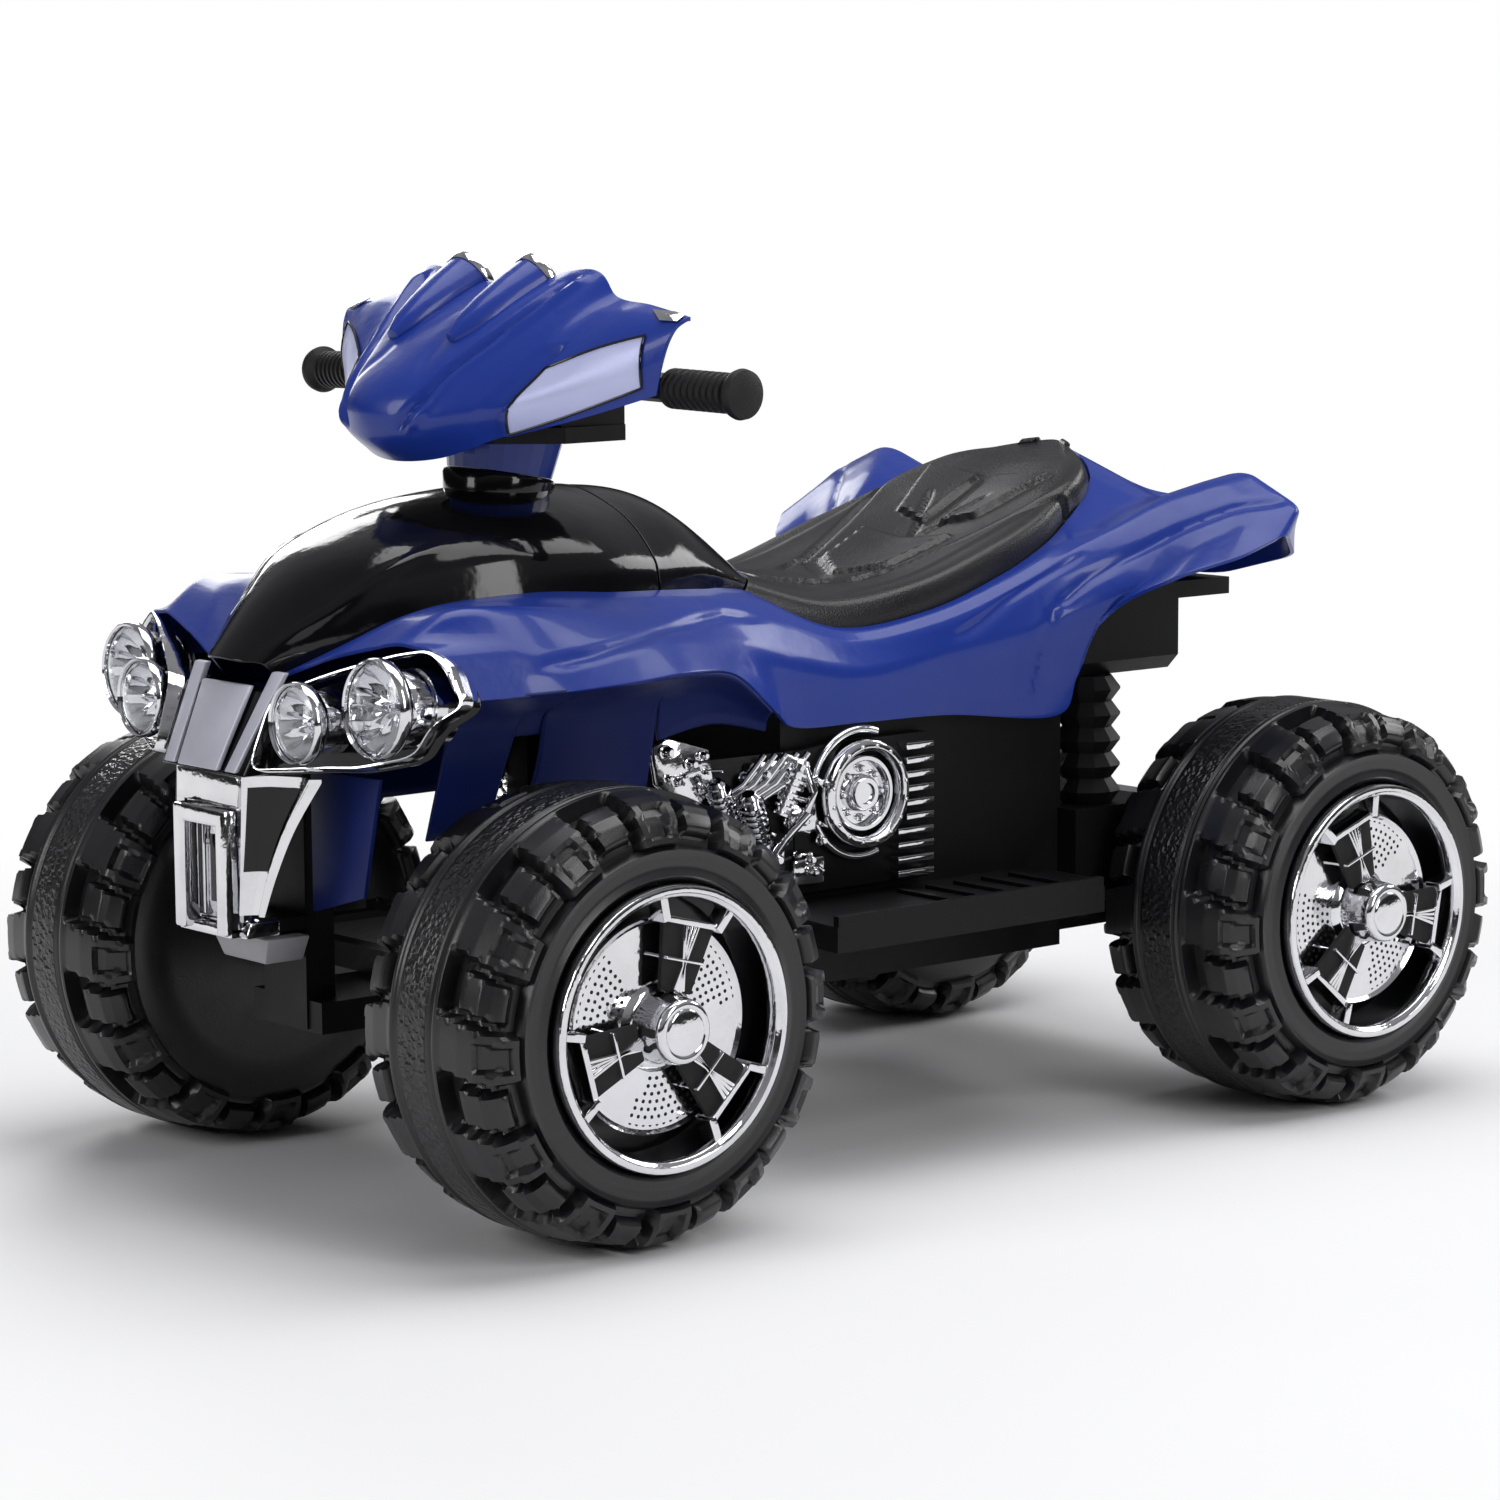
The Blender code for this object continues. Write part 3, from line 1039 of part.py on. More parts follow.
# Chassis
def make_tray():
    """The black tray: nose beam, battery box, ribbed footboards and the rear arms round the axle."""
    wall = TRAY_WALL
    floor = TRAY_BOTTOM + wall
    box = block((-BOX_HALF_WIDTH, BOX_FRONT, TRAY_BOTTOM), (BOX_HALF_WIDTH, BOX_REAR, BOX_TOP))
    well = block((-BOX_HALF_WIDTH + wall, BOX_FRONT + wall, floor), (BOX_HALF_WIDTH - wall, BOX_REAR - wall, BOX_TOP + 0.01))
    beam = block((-0.045, NOSE_BACK + 0.002, TRAY_BOTTOM), (0.045, BOX_FRONT + 0.002, NOSE_BEAM_TOP))
    post = block((-0.028, NOSE_BACK + CLEARANCE, TRAY_BOTTOM + 0.002), (0.028, NOSE_BACK + 0.026, NOSE_FRAME_TOP - 0.004))
    foot = block((-0.030, BUMPER_FRONT + STEP_DEPTH + CLEARANCE, STEP_LOW + CLEARANCE), (0.030, NOSE_BACK + 0.004, 0.054))
    solids = [box, beam, post, foot]
    cuts = [well, rod(column_point(column_distance_to(0.02)), column_point(column_distance_to(-0.06)),
                      COLUMN_RADIUS + CLEARANCE + 0.0002, 16)]
    rear_half = GEARBOX_INNER - CLEARANCE
    solids.append(block((-rear_half, BOX_REAR - 0.002, TRAY_BOTTOM + 0.006), (rear_half, REAR + 0.034, 0.035)))
    cuts.append(rod((-0.2, REAR, 0), (0.2, REAR, 0), AXLE_RADIUS + RUNNING_CLEARANCE))
    for side in (1, -1):
        inner, outer = BOX_HALF_WIDTH - 0.002, FOOTBOARD_HALF_WIDTH
        top = FOOTBOARD_TOP
        board_front = FRONT + TYRE_RADIUS + FOOTBOARD_TYRE_GAP
        board_rear = REAR - TYRE_RADIUS - FOOTBOARD_TYRE_GAP
        board = [(side * inner, BOX_FRONT + 0.002), (side * 0.170, board_front + 0.010), (side * outer, board_front),
                 (side * outer, board_rear), (side * 0.215, board_rear + 0.025), (side * inner, board_rear + 0.025)]
        solids.append(prism(board, "Z", top - FOOTBOARD_THICKNESS, top))
        low, high = sorted((side * (outer - 0.006), side * outer))
        solids.append(block((low, board_front + 0.001, top - 0.002), (high, board_rear - 0.001, top + 0.008)))
        for rib in range(FOOTBOARD_RIBS):
            y = board_rear - 0.022 - 0.107 * (board_rear - board_front) * rib
            low, high = sorted((side * 0.162, side * 0.236))
            solids.append(block((low, y, top - 0.002), (high, y + 0.006, top + 0.003)))
        low, high = sorted((side * 0.100, side * 0.158))
        solids.append(block((low, BOX_REAR - 0.003, -0.010), (high, REAR - 0.062, SHOCK_FOOT)))
        for y in (-0.033, 0.050):
            low, high = sorted((side * (BOX_HALF_WIDTH - 0.002), side * (FLANK_HALF_WIDTH - SHELL_WALL - 5 * CLEARANCE)))
            solids.append(block((low, y, BOX_TOP - 0.018), (high, y + 0.016, BOX_TOP)))
    for x in (PEDAL_X - PEDAL_HALF_WIDTH - 0.0055, PEDAL_X + PEDAL_HALF_WIDTH + 0.0005):
        solids.append(block((x, PEDAL_PIVOT_Y - 0.007, FOOTBOARD_TOP - 0.002),
                            (x + 0.005, PEDAL_PIVOT_Y + 0.007, PEDAL_PIVOT_HEIGHT + 0.006)))
    cuts.append(rod((PEDAL_X - 0.060, PEDAL_PIVOT_Y, PEDAL_PIVOT_HEIGHT), (PEDAL_X + 0.060, PEDAL_PIVOT_Y, PEDAL_PIVOT_HEIGHT),
                    0.0025 + RUNNING_CLEARANCE, 12))
    piece("chassis_tray", fused(solids, cuts), "black_plastic")


def make_pedal():
    """The accelerator pedal on the right footboard, on its own pin."""
    slope = 0.20
    tip_y = PEDAL_PIVOT_Y - PEDAL_LENGTH
    rise = PEDAL_LENGTH * slope
    plate = prism([(PEDAL_PIVOT_Y, PEDAL_PIVOT_HEIGHT - 0.003), (tip_y, PEDAL_PIVOT_HEIGHT - 0.003 + rise),
                   (tip_y, PEDAL_PIVOT_HEIGHT + 0.003 + rise), (PEDAL_PIVOT_Y, PEDAL_PIVOT_HEIGHT + 0.003)],
                  "X", PEDAL_X - PEDAL_HALF_WIDTH, PEDAL_X + PEDAL_HALF_WIDTH)
    barrel = rod((PEDAL_X - PEDAL_HALF_WIDTH, PEDAL_PIVOT_Y, PEDAL_PIVOT_HEIGHT),
                 (PEDAL_X + PEDAL_HALF_WIDTH, PEDAL_PIVOT_Y, PEDAL_PIVOT_HEIGHT), 0.0055)
    pin = rod((PEDAL_X - PEDAL_HALF_WIDTH - 0.005, PEDAL_PIVOT_Y, PEDAL_PIVOT_HEIGHT),
              (PEDAL_X + PEDAL_HALF_WIDTH + 0.005, PEDAL_PIVOT_Y, PEDAL_PIVOT_HEIGHT), 0.0025)
    piece("accelerator_pedal", fused([plate, barrel, pin]), "black_plastic", (PEDAL_X, PEDAL_PIVOT_Y, PEDAL_PIVOT_HEIGHT))


# Drive, battery and electrics
def hull_outline(circles, steps=6):
    """The outline round two circles given as (y, height, radius), lower one first."""
    (y0, z0, r0), (y1, z1, r1) = circles
    lean = atan2(z1 - z0, y1 - y0)
    outline = []
    for y, z, radius, start in ((y0, z0, r0, lean + pi / 2), (y1, z1, r1, lean - pi / 2)):
        for step in range(steps + 1):
            angle = start + pi * step / steps
            outline.append((y + radius * cos(angle), z + radius * sin(angle)))
    return outline


def make_drive():
    """Rear axle, and on each side a gearbox with its motor."""
    near_end = [(radius, -along) for radius, along in reversed(axle_end())]
    piece("rear_axle", turned(near_end + axle_end(), AXLE_SIDES, (0, REAR, 0)), "steel", (0, REAR, 0))
    for side in (1, -1):
        name = side_name(side)
        outline = hull_outline(((REAR, 0.0, 0.044), (MOTOR_Y, MOTOR_HEIGHT, 0.025)))
        low, high = sorted((side * GEARBOX_INNER, side * GEARBOX_OUTER))
        bore = rod((low - 0.01, REAR, 0), (high + 0.01, REAR, 0), AXLE_RADIUS + RUNNING_CLEARANCE)
        piece(f"gearbox_{name}", fused([prism(outline, "X", low, high)], [bore]), "black_plastic", (0, REAR, 0))
        near = side * (GEARBOX_INNER - CLEARANCE)
        far = side * (GEARBOX_INNER - CLEARANCE - MOTOR_LENGTH)
        motor = turned([(0, 0), (MOTOR_RADIUS, 0), (MOTOR_RADIUS, MOTOR_LENGTH - 0.004), (0.008, MOTOR_LENGTH - 0.004),
                        (0.008, MOTOR_LENGTH), (0, MOTOR_LENGTH)], 12, (near, MOTOR_Y, MOTOR_HEIGHT), (far - near, 0, 0))
        piece(f"drive_motor_{name}", motor, "steel", (0, REAR, 0))


def make_electrics():
    """Battery and control box in the tray, and the charging socket on its right wall."""
    floor = TRAY_BOTTOM + TRAY_WALL + CLEARANCE
    wide, deep, tall = BATTERY_SIZE
    front = BOX_FRONT + TRAY_WALL + 0.020
    case = block((-wide / 2, front, floor), (wide / 2, front + deep, floor + tall))
    posts = [block((x - 0.004, front + 0.010, floor + tall - 0.001), (x + 0.004, front + 0.013, floor + tall + 0.006))
             for x in (-0.055, 0.055)]
    piece("battery", fused([case] + posts), "black_plastic")
    box = block((-0.045, front + deep + 0.020, floor), (0.045, front + deep + 0.080, floor + 0.032))
    piece("control_box", box, "grey_plastic")
    wall = -BOX_HALF_WIDTH - CLEARANCE
    socket = turned([(0, 0), (0.013, 0), (0.013, 0.004), (0.009, 0.010), (0.0055, 0.010), (0.0055, 0.002), (0, 0.002)],
                    14, (wall, BOX_REAR - 0.040, 0.110), (-1, 0, 0))
    piece("charging_socket", socket, "black_plastic")


# Ornaments and the tail
def make_engine_covers():
    """A plated dummy engine on each side: crankcase, ringed clutch cover, cylinder and cooling fins."""
    low = BOX_HALF_WIDTH + CLEARANCE
    start = BOX_FRONT
    for side in (1, -1):
        fins = []
        for fin in range(ENGINE_FINS):
            height = 0.056 + 0.0125 * fin
            fins += [(start + 0.145, height), (start + 0.145, height + 0.006), (start + 0.112, height + 0.006),
                     (start + 0.112, height + 0.0125)]
        base = prism([(start + 0.004, 0.042), (start + 0.110, 0.042)] + fins
                     + [(start + 0.050, 0.160), (start + 0.004, 0.155)], "X", low, low + 0.016)
        clutch = Vector((low, start + 0.066, 0.112))
        barrel = turned([(0, 0.001), (0.041, 0.001), (0.041, 0.022), (0, 0.022)], 16, clutch)
        ring = turned([(0.024, 0.018), (0.033, 0.018), (0.031, 0.028), (0.026, 0.028)], 16, clutch)
        cap = turned([(0, 0.002), (0.014, 0.002), (0.014, 0.026), (0, 0.026)], AXLE_SIDES, clutch)
        root = low + 0.001
        nose = between([(0.090, start - 0.076, 0.087), (0.126, start - 0.076, 0.087), (low + 0.0142, start + 0.010, 0.052),
                        (root, start + 0.010, 0.052), (root, start - CLEARANCE, 0.052)],
                       [(0.090, start - 0.076, 0.148), (0.122, start - 0.076, 0.148), (low + 0.0122, start + 0.010, 0.153),
                        (root, start + 0.010, 0.153), (root, start - CLEARANCE, 0.153)])
        pipe = rod((low + 0.0132, start - 0.022, 0.070), (low + 0.0132, start + 0.022, 0.138), 0.011, 8)
        solids = [base, barrel, ring, cap, nose, pipe]
        shape = fused(solids)
        if side < 0:
            mirrored(shape)
        piece(f"engine_cover_{side_name(side)}", shape, "chrome")


def make_tail():
    """Ribbed shock covers and the black mudguard under the tail."""
    top = TAIL_LOW - CLEARANCE
    low = SHOCK_FOOT + CLEARANCE
    for side in (1, -1):
        profile = [(0, low), (0.021, low)]
        pitch = (top - low) / SHOCK_RIBS
        for rib in range(SHOCK_RIBS):
            profile += [(0.0285, low + pitch * (rib + 0.5)), (0.0205, low + pitch * (rib + 1))]
        profile.append((0, top))
        shape = turned(profile, 12, (side * 0.128, SHOCK_Y, 0), (0, 0, 1))
        piece(f"rear_shock_{side_name(side)}", shape, "black_plastic")
    tail_top = BODY_STATIONS[-1][-1][2] - 0.0035
    half = 0.150
    outline = [(-half, TAIL_LOW + 0.012), (-half + 0.012, TAIL_LOW), (half - 0.012, TAIL_LOW), (half, TAIL_LOW + 0.012),
               (half, tail_top), (-half, tail_top)]
    box = prism(outline, "Y", BOX_REAR + 0.008, REAR - 0.044)
    flap = block((-half, REAR - 0.050, tail_top - 0.014), (half, REAR + 0.016, tail_top))
    piece("rear_mudguard", fused([box, flap]), "black_plastic")


def make_all():
    """Clear the scene and build every piece."""
    for thing in list(bpy.data.objects):
        bpy.data.objects.remove(thing, do_unlink=True)
    make_body_shell()
    make_covers()
    make_wheels()
    make_front_axle()
    make_knuckles()
    make_tie_rod()
    make_column()
    make_handlebar()
    make_cowl()
    make_steering_covers()
    make_controls()
    make_headlamps()
    make_nose()
    make_tray()
    make_pedal()
    make_drive()
    make_electrics()
    make_engine_covers()
    make_tail()


make_all()
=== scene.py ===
"""Child's electric ride-on quad: the looks that go round the fixed model of its parts."""

from math import atan2, cos, pi, radians, sin

import bmesh
import bpy
import numpy as np
from mathutils import Matrix, Vector


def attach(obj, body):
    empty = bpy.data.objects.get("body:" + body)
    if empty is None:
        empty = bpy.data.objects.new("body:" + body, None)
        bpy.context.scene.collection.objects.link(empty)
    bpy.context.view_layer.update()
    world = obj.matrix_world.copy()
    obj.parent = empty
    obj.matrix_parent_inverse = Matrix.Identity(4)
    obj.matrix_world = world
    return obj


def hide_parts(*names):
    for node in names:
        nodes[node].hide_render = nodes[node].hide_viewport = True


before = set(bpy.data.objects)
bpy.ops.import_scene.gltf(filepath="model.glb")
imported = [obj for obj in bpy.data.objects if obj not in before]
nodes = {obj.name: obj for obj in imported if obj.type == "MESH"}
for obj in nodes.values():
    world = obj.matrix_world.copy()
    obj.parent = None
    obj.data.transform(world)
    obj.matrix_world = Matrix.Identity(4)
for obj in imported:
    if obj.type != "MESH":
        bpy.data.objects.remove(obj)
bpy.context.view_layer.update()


# The photographer's place: low at the front left corner, about 3.6 m off, with a long lens. Its
# place, aim and lens were solved from the four wheels in the photograph.
EYE = Vector((2.6931, -2.2562, 0.7776))
HEADING, TILT, ROLL = 0.8756, 0.1359, -0.0055
LENS_MM, FILM_MM = 104.95, 36.0

toward_eye = Vector((sin(HEADING) * cos(TILT), -cos(HEADING) * cos(TILT), sin(TILT)))
sideways = (-toward_eye).cross(Vector((0, 0, 1))).normalized()
upright = sideways.cross(-toward_eye)
picture_right = cos(ROLL) * sideways + sin(ROLL) * upright
picture_up = -sin(ROLL) * sideways + cos(ROLL) * upright
lens = bpy.data.cameras.new("photographer")
lens.lens, lens.sensor_width = LENS_MM, FILM_MM
photographer = bpy.data.objects.new("photographer", lens)
stance = Matrix((picture_right, picture_up, toward_eye)).transposed().to_4x4()
photographer.matrix_world = Matrix.Translation(EYE) @ stance
bpy.context.scene.collection.objects.link(photographer)
bpy.context.scene.camera = photographer
bpy.context.scene.view_settings.view_transform = "Standard"


# Studio: soft boxes over and beside the quad. The air round them is dim, so that the plating has
# something dark to mirror, and only the camera sees it white.
SKY_LOW, SKY_EDGE, SKY_HAZE = (0.12, 0.12, 0.13), (0.01, 0.01, 0.01), (0.03, 0.03, 0.03)
SKY_WALL, SKY_HIGH, SKY_TOP = (0.22, 0.22, 0.23), (0.30, 0.30, 0.31), (0.14, 0.14, 0.15)
# Each soft box: its place, what it points at, its two sides and its power in watts
SOFT_BOXES = (
    ((0.2, 0.2, 2.2), (0.0, 0.0, 0.2), (1.5, 2.2), 36.0),
    ((2.4, -0.2, 1.5), (0.1, 0.0, 0.3), (0.6, 1.6), 20.0),
    ((-0.2, -2.6, 1.3), (0.0, -0.2, 0.3), (0.7, 1.2), 16.0),
    ((0.6, 2.4, 1.6), (0.0, 0.2, 0.3), (1.6, 0.8), 20.0),
    ((-2.4, 0.8, 1.4), (0.0, 0.1, 0.3), (0.8, 1.4), 15.0),
)


class Link:
    """One socket in a finish; sums on it add Math nodes, and node() adds any other node."""

    def __init__(self, tree, socket=None):
        self.tree = tree
        self.socket = socket

    def node(self, kind, settings, inputs, output=0):
        """Any node: its settings first, then the values or links of its sockets."""
        made = self.tree.nodes.new("ShaderNode" + kind)
        for name, value in settings.items():
            if name == "stops":
                ramp = made.color_ramp
                ramp.elements.remove(ramp.elements[1])
                for number, (place, colour) in enumerate(value):
                    stop = ramp.elements.new(place) if number else ramp.elements[0]
                    stop.position = place
                    stop.color = (*colour, 1.0)
            else:
                setattr(made, name, value)
        for name, value in inputs.items():
            if isinstance(value, Link):
                self.tree.links.new(value.socket, made.inputs[name])
            else:
                made.inputs[name].default_value = value
        return Link(self.tree, made.outputs[output])

    def math(self, operation, *terms):
        """A Math node on any number of terms."""
        return self.node("Math", {"operation": operation}, dict(enumerate(terms)))

    def __add__(self, other):
        return self.math("ADD", self, other)

    def __radd__(self, other):
        return self.math("ADD", other, self)

    def __sub__(self, other):
        return self.math("SUBTRACT", self, other)

    def __rsub__(self, other):
        return self.math("SUBTRACT", other, self)

    def __mul__(self, other):
        return self.math("MULTIPLY", self, other)

    def __rmul__(self, other):
        return self.math("MULTIPLY", other, self)


world = bpy.data.worlds.new("studio")
bpy.context.scene.world = world
world.use_nodes = True
air = Link(world.node_tree)
sky_way = air.node("TexCoord", {}, {}, 0)
sky_height = air.node("SeparateXYZ", {}, {"Vector": sky_way}, 2)
sky_stops = ((0.0, SKY_LOW), (0.47, SKY_LOW), (0.50, SKY_EDGE), (0.58, SKY_HAZE), (0.66, SKY_WALL),
             (0.85, SKY_HIGH), (1.0, SKY_TOP))
sky_tone = air.node("ValToRGB", {"stops": sky_stops}, {"Fac": sky_height * 0.5 + 0.5})
seen = air.node("LightPath", {}, {}, 0)
sky = air.node("Mix", {"data_type": "RGBA"}, {0: seen, 6: sky_tone, 7: (1.0, 1.0, 1.0, 1.0)}, 2)
back_drop = world.node_tree.nodes["Background"]
world.node_tree.links.new(sky.socket, back_drop.inputs["Color"])
back_drop.inputs["Strength"].default_value = 1.0

for number, (place, target, size, power) in enumerate(SOFT_BOXES):
    light = bpy.data.lights.new(f"soft_box_{number}", "AREA")
    light.shape = "RECTANGLE"
    light.size, light.size_y = size
    light.energy = power
    box = bpy.data.objects.new(light.name, light)
    aim = (Vector(target) - Vector(place)).to_track_quat("-Z", "Y")
    box.matrix_world = Matrix.Translation(place) @ aim.to_matrix().to_4x4()
    bpy.context.scene.collection.objects.link(box)


# Sweep: a white paper floor that glows to pure white away from the quad and keeps its shadow.
# It lies just below the lowest points of the tyres.
SWEEP_WHITE = (0.86, 0.86, 0.87)
SWEEP_RADIUS, SWEEP_DROP = 30.0, 0.0008
FADE_START, FADE_END = 0.55, 1.7


def finish(name, colour, roughness, **fixed):
    """A material: its constant values, its shader and the place on the object."""
    material = bpy.data.materials.new(name)
    material.use_nodes = True
    shader = material.node_tree.nodes["Principled BSDF"]
    shader.inputs["Base Color"].default_value = (*colour, 1.0)
    shader.inputs["Roughness"].default_value = roughness
    for title, value in fixed.items():
        shader.inputs[title.replace("_", " ")].default_value = value
    spot = Link(material.node_tree).node("TexCoord", {}, {}, "Object")
    return material, shader, spot


def feed(shader, title, link):
    """Let what changes over the surface drive one of the shader's sockets."""
    link.tree.links.new(link.socket, shader.inputs[title])


def cloud(spot, scale, detail=2.0):
    """Soft noise from 0 to 1, with that many waves to the metre."""
    return spot.node("TexNoise", {}, {"Vector": spot, "Scale": scale, "Detail": detail})


sweep_look, sweep_shader, spot = finish("white_sweep", SWEEP_WHITE, 0.6)
far_off = spot.node("VectorMath", {"operation": "LENGTH"}, {0: spot}, "Value")
feed(sweep_shader, "Roughness", 0.55 + cloud(spot, 3.0) * 0.1)
glow = spot.node("Emission", {}, {"Color": (1.0, 1.0, 1.0, 1.0), "Strength": 1.0})
fade = spot.node("MapRange", {"interpolation_type": "SMOOTHSTEP"},
                 {"Value": far_off, "From Min": FADE_START, "From Max": FADE_END})
floor_mix = spot.node("MixShader", {}, {0: fade, 1: Link(spot.tree, sweep_shader.outputs[0]), 2: glow})
sweep_out = sweep_look.node_tree.nodes["Material Output"]
sweep_look.node_tree.links.new(floor_mix.socket, sweep_out.inputs["Surface"])
shape = bmesh.new()
bmesh.ops.create_circle(shape, cap_ends=True, segments=64, radius=SWEEP_RADIUS)
mesh = bpy.data.meshes.new("studio_floor")
shape.to_mesh(mesh)
shape.free()
mesh.materials.append(sweep_look)
studio_floor = bpy.data.objects.new("studio_floor", mesh)
studio_floor.location.z = -SWEEP_DROP
bpy.context.scene.collection.objects.link(studio_floor)


# Body shell: one blow-moulded blue polypropylene shell, fenders, flanks and tail together. It is
# smooth and glossy, with ridges pressed into its fenders, flanks and tail. Every piece is drawn
# about the middle of the four wheel centres, and moved to its place in the frame from there.
CENTRE = Vector((0, 0.0065649, 0.1648702))
MOULDED_WALL, BLUE_RIM = 0.003, 0.0012
BLUE = (0.0100, 0.0340, 0.2600)
BLUE_DEEP = (0.0075, 0.0260, 0.2100)
# Sections of the left half, from nose to tail, each from its inner edge to its lower one
BODY_STATIONS = (
    ((0.036, -0.497, 0.235), (0.090, -0.486, 0.254), (0.150, -0.472, 0.268), (0.186, -0.462, 0.265),
     (0.205, -0.450, 0.228)),
    ((0.075, -0.447, 0.264), (0.120, -0.445, 0.282), (0.168, -0.434, 0.289), (0.198, -0.410, 0.261),
     (0.214, -0.400, 0.229)),
    ((0.103, -0.404, 0.285), (0.140, -0.402, 0.291), (0.177, -0.394, 0.290), (0.212, -0.364, 0.250),
     (0.224, -0.360, 0.231)),
    ((0.1275, -0.330, 0.292), (0.150, -0.330, 0.290), (0.175, -0.326, 0.282), (0.208, -0.308, 0.254),
     (0.225, -0.305, 0.233)),
    ((0.132, -0.260, 0.288), (0.147, -0.260, 0.284), (0.166, -0.258, 0.275), (0.196, -0.252, 0.258),
     (0.219, -0.253, 0.235)),
    ((0.122, -0.205, 0.285), (0.136, -0.203, 0.281), (0.153, -0.200, 0.272), (0.178, -0.198, 0.250),
     (0.193, -0.190, 0.226)),
    ((0.106, -0.150, 0.281), (0.124, -0.150, 0.275), (0.140, -0.150, 0.264), (0.157, -0.145, 0.240),
     (0.160, -0.124, 0.190)),
    ((0.086, -0.095, 0.275), (0.110, -0.093, 0.266), (0.132, -0.092, 0.252), (0.149, -0.091, 0.225),
     (0.151, -0.095, 0.173)),
    ((0.115, -0.025, 0.243), (0.128, -0.025, 0.241), (0.138, -0.025, 0.233), (0.149, -0.025, 0.212),
     (0.150, -0.025, 0.171)),
    ((0.129, 0.060, 0.251), (0.138, 0.060, 0.250), (0.146, 0.060, 0.242), (0.151, 0.062, 0.218),
     (0.150, 0.065, 0.169)),
    ((0.130, 0.138, 0.274), (0.141, 0.140, 0.274), (0.153, 0.142, 0.267), (0.163, 0.143, 0.230),
     (0.160, 0.172, 0.160)),
    ((0.122, 0.195, 0.295), (0.140, 0.196, 0.297), (0.160, 0.195, 0.292), (0.180, 0.188, 0.250),
     (0.167, 0.190, 0.192)),
    ((0.110, 0.232, 0.312), (0.137, 0.235, 0.307), (0.170, 0.236, 0.312), (0.207, 0.223, 0.270),
     (0.186, 0.203, 0.243)),
    ((0.094, 0.268, 0.330), (0.130, 0.270, 0.318), (0.188, 0.276, 0.336), (0.240, 0.256, 0.298),
     (0.247, 0.220, 0.276)),
    ((0.078, 0.290, 0.343), (0.130, 0.300, 0.325), (0.206, 0.304, 0.348), (0.262, 0.292, 0.322),
     (0.284, 0.258, 0.293)),
    ((0.060, 0.304, 0.350), (0.128, 0.322, 0.325), (0.220, 0.328, 0.356), (0.286, 0.325, 0.329),
     (0.291, 0.302, 0.308)),
    ((0.040, 0.316, 0.357), (0.118, 0.338, 0.323), (0.200, 0.345, 0.335), (0.250, 0.352, 0.310),
     (0.255, 0.350, 0.285)),
    ((0.020, 0.325, 0.361), (0.070, 0.347, 0.335), (0.120, 0.357, 0.318), (0.150, 0.366, 0.290),
     (0.152, 0.370, 0.262)),
    ((0.000, 0.330, 0.363), (0.000, 0.349, 0.355), (0.000, 0.362, 0.338), (0.000, 0.370, 0.300),
     (0.000, 0.373, 0.262)),
)
FENDER_RIDGE = ((0.212, -0.400, 0.248), (0.209, -0.339, 0.254), (0.197, -0.282, 0.261),
                (0.166, -0.209, 0.264), (0.140, -0.155, 0.265), (0.130, -0.110, 0.256))
WAIST_RIDGE = ((0.149, 0.070, 0.228), (0.151, 0.097, 0.240), (0.152, 0.124, 0.256), (0.155, 0.157, 0.271),
               (0.165, 0.205, 0.294))
TAIL_CREASE = ((0.166, 0.165, 0.248), (0.173, 0.195, 0.270), (0.185, 0.223, 0.287), (0.211, 0.256, 0.308),
               (0.239, 0.288, 0.326), (0.275, 0.322, 0.336))
FLANK_CREASE = ((0.166, 0.165, 0.250), (0.164, 0.157, 0.225), (0.160, 0.153, 0.172))
# Each pressed line's half width, its height and the share of it that fades out at each end
PRESSED_LINES = (
    (FENDER_RIDGE, 0.0050, 0.0030, 0.12),
    (WAIST_RIDGE, 0.0045, 0.0026, 0.12),
    (TAIL_CREASE, 0.0050, 0.0034, 0.06),
    (FLANK_CREASE, 0.0040, 0.0026, 0.05),
)
CREASE_SOFTNESS, POINTED_FROM = 0.22, 12.6


def blended(spot, share, first, second):
    """A colour between two, by a share."""
    return spot.node("Mix", {"data_type": "RGBA"}, {0: share, 6: (*first, 1.0), 7: (*second, 1.0)}, 2)


def raised(spot, height, depth):
    """A bump of that depth in metres."""
    return spot.node("Bump", {}, {"Height": height, "Distance": depth, "Strength": 1.0})


def pulls(count, steps):
    """How strongly each of a curve's points pulls on each step along it."""
    pull = np.zeros((steps + 1, count))
    for step, place in enumerate(np.linspace(0, count - 1, steps + 1)):
        i = min(int(place), count - 2)
        f = place - i
        for j, strength in ((i - 1, -f + 2 * f * f - f ** 3), (i, 2 - 5 * f * f + 3 * f ** 3),
                            (i + 1, f + 4 * f * f - 3 * f ** 3), (i + 2, f ** 3 - f * f)):
            pull[step, min(max(j, 0), count - 1)] += strength / 2
    return pull


def creases(count, steps, soft):
    """Pulls for straight stretches between points, with the corner at each point rounded."""
    pull = np.zeros((steps + 1, count))
    for step, place in enumerate(np.linspace(0, count - 1, steps + 1)):
        i = round(place)
        if 0 < i < count - 1 and abs(place - i) < soft:
            s = (place - i + soft) / (2 * soft)
            pull[step, i - 1] += (1 - s) ** 2 * soft
            pull[step, i + 1] += s ** 2 * soft
            pull[step, i] += 1 - ((1 - s) ** 2 + s ** 2) * soft
        else:
            i = min(int(place), count - 2)
            pull[step, i] += 1 - (place - i)
            pull[step, i + 1] += place - i
    return pull


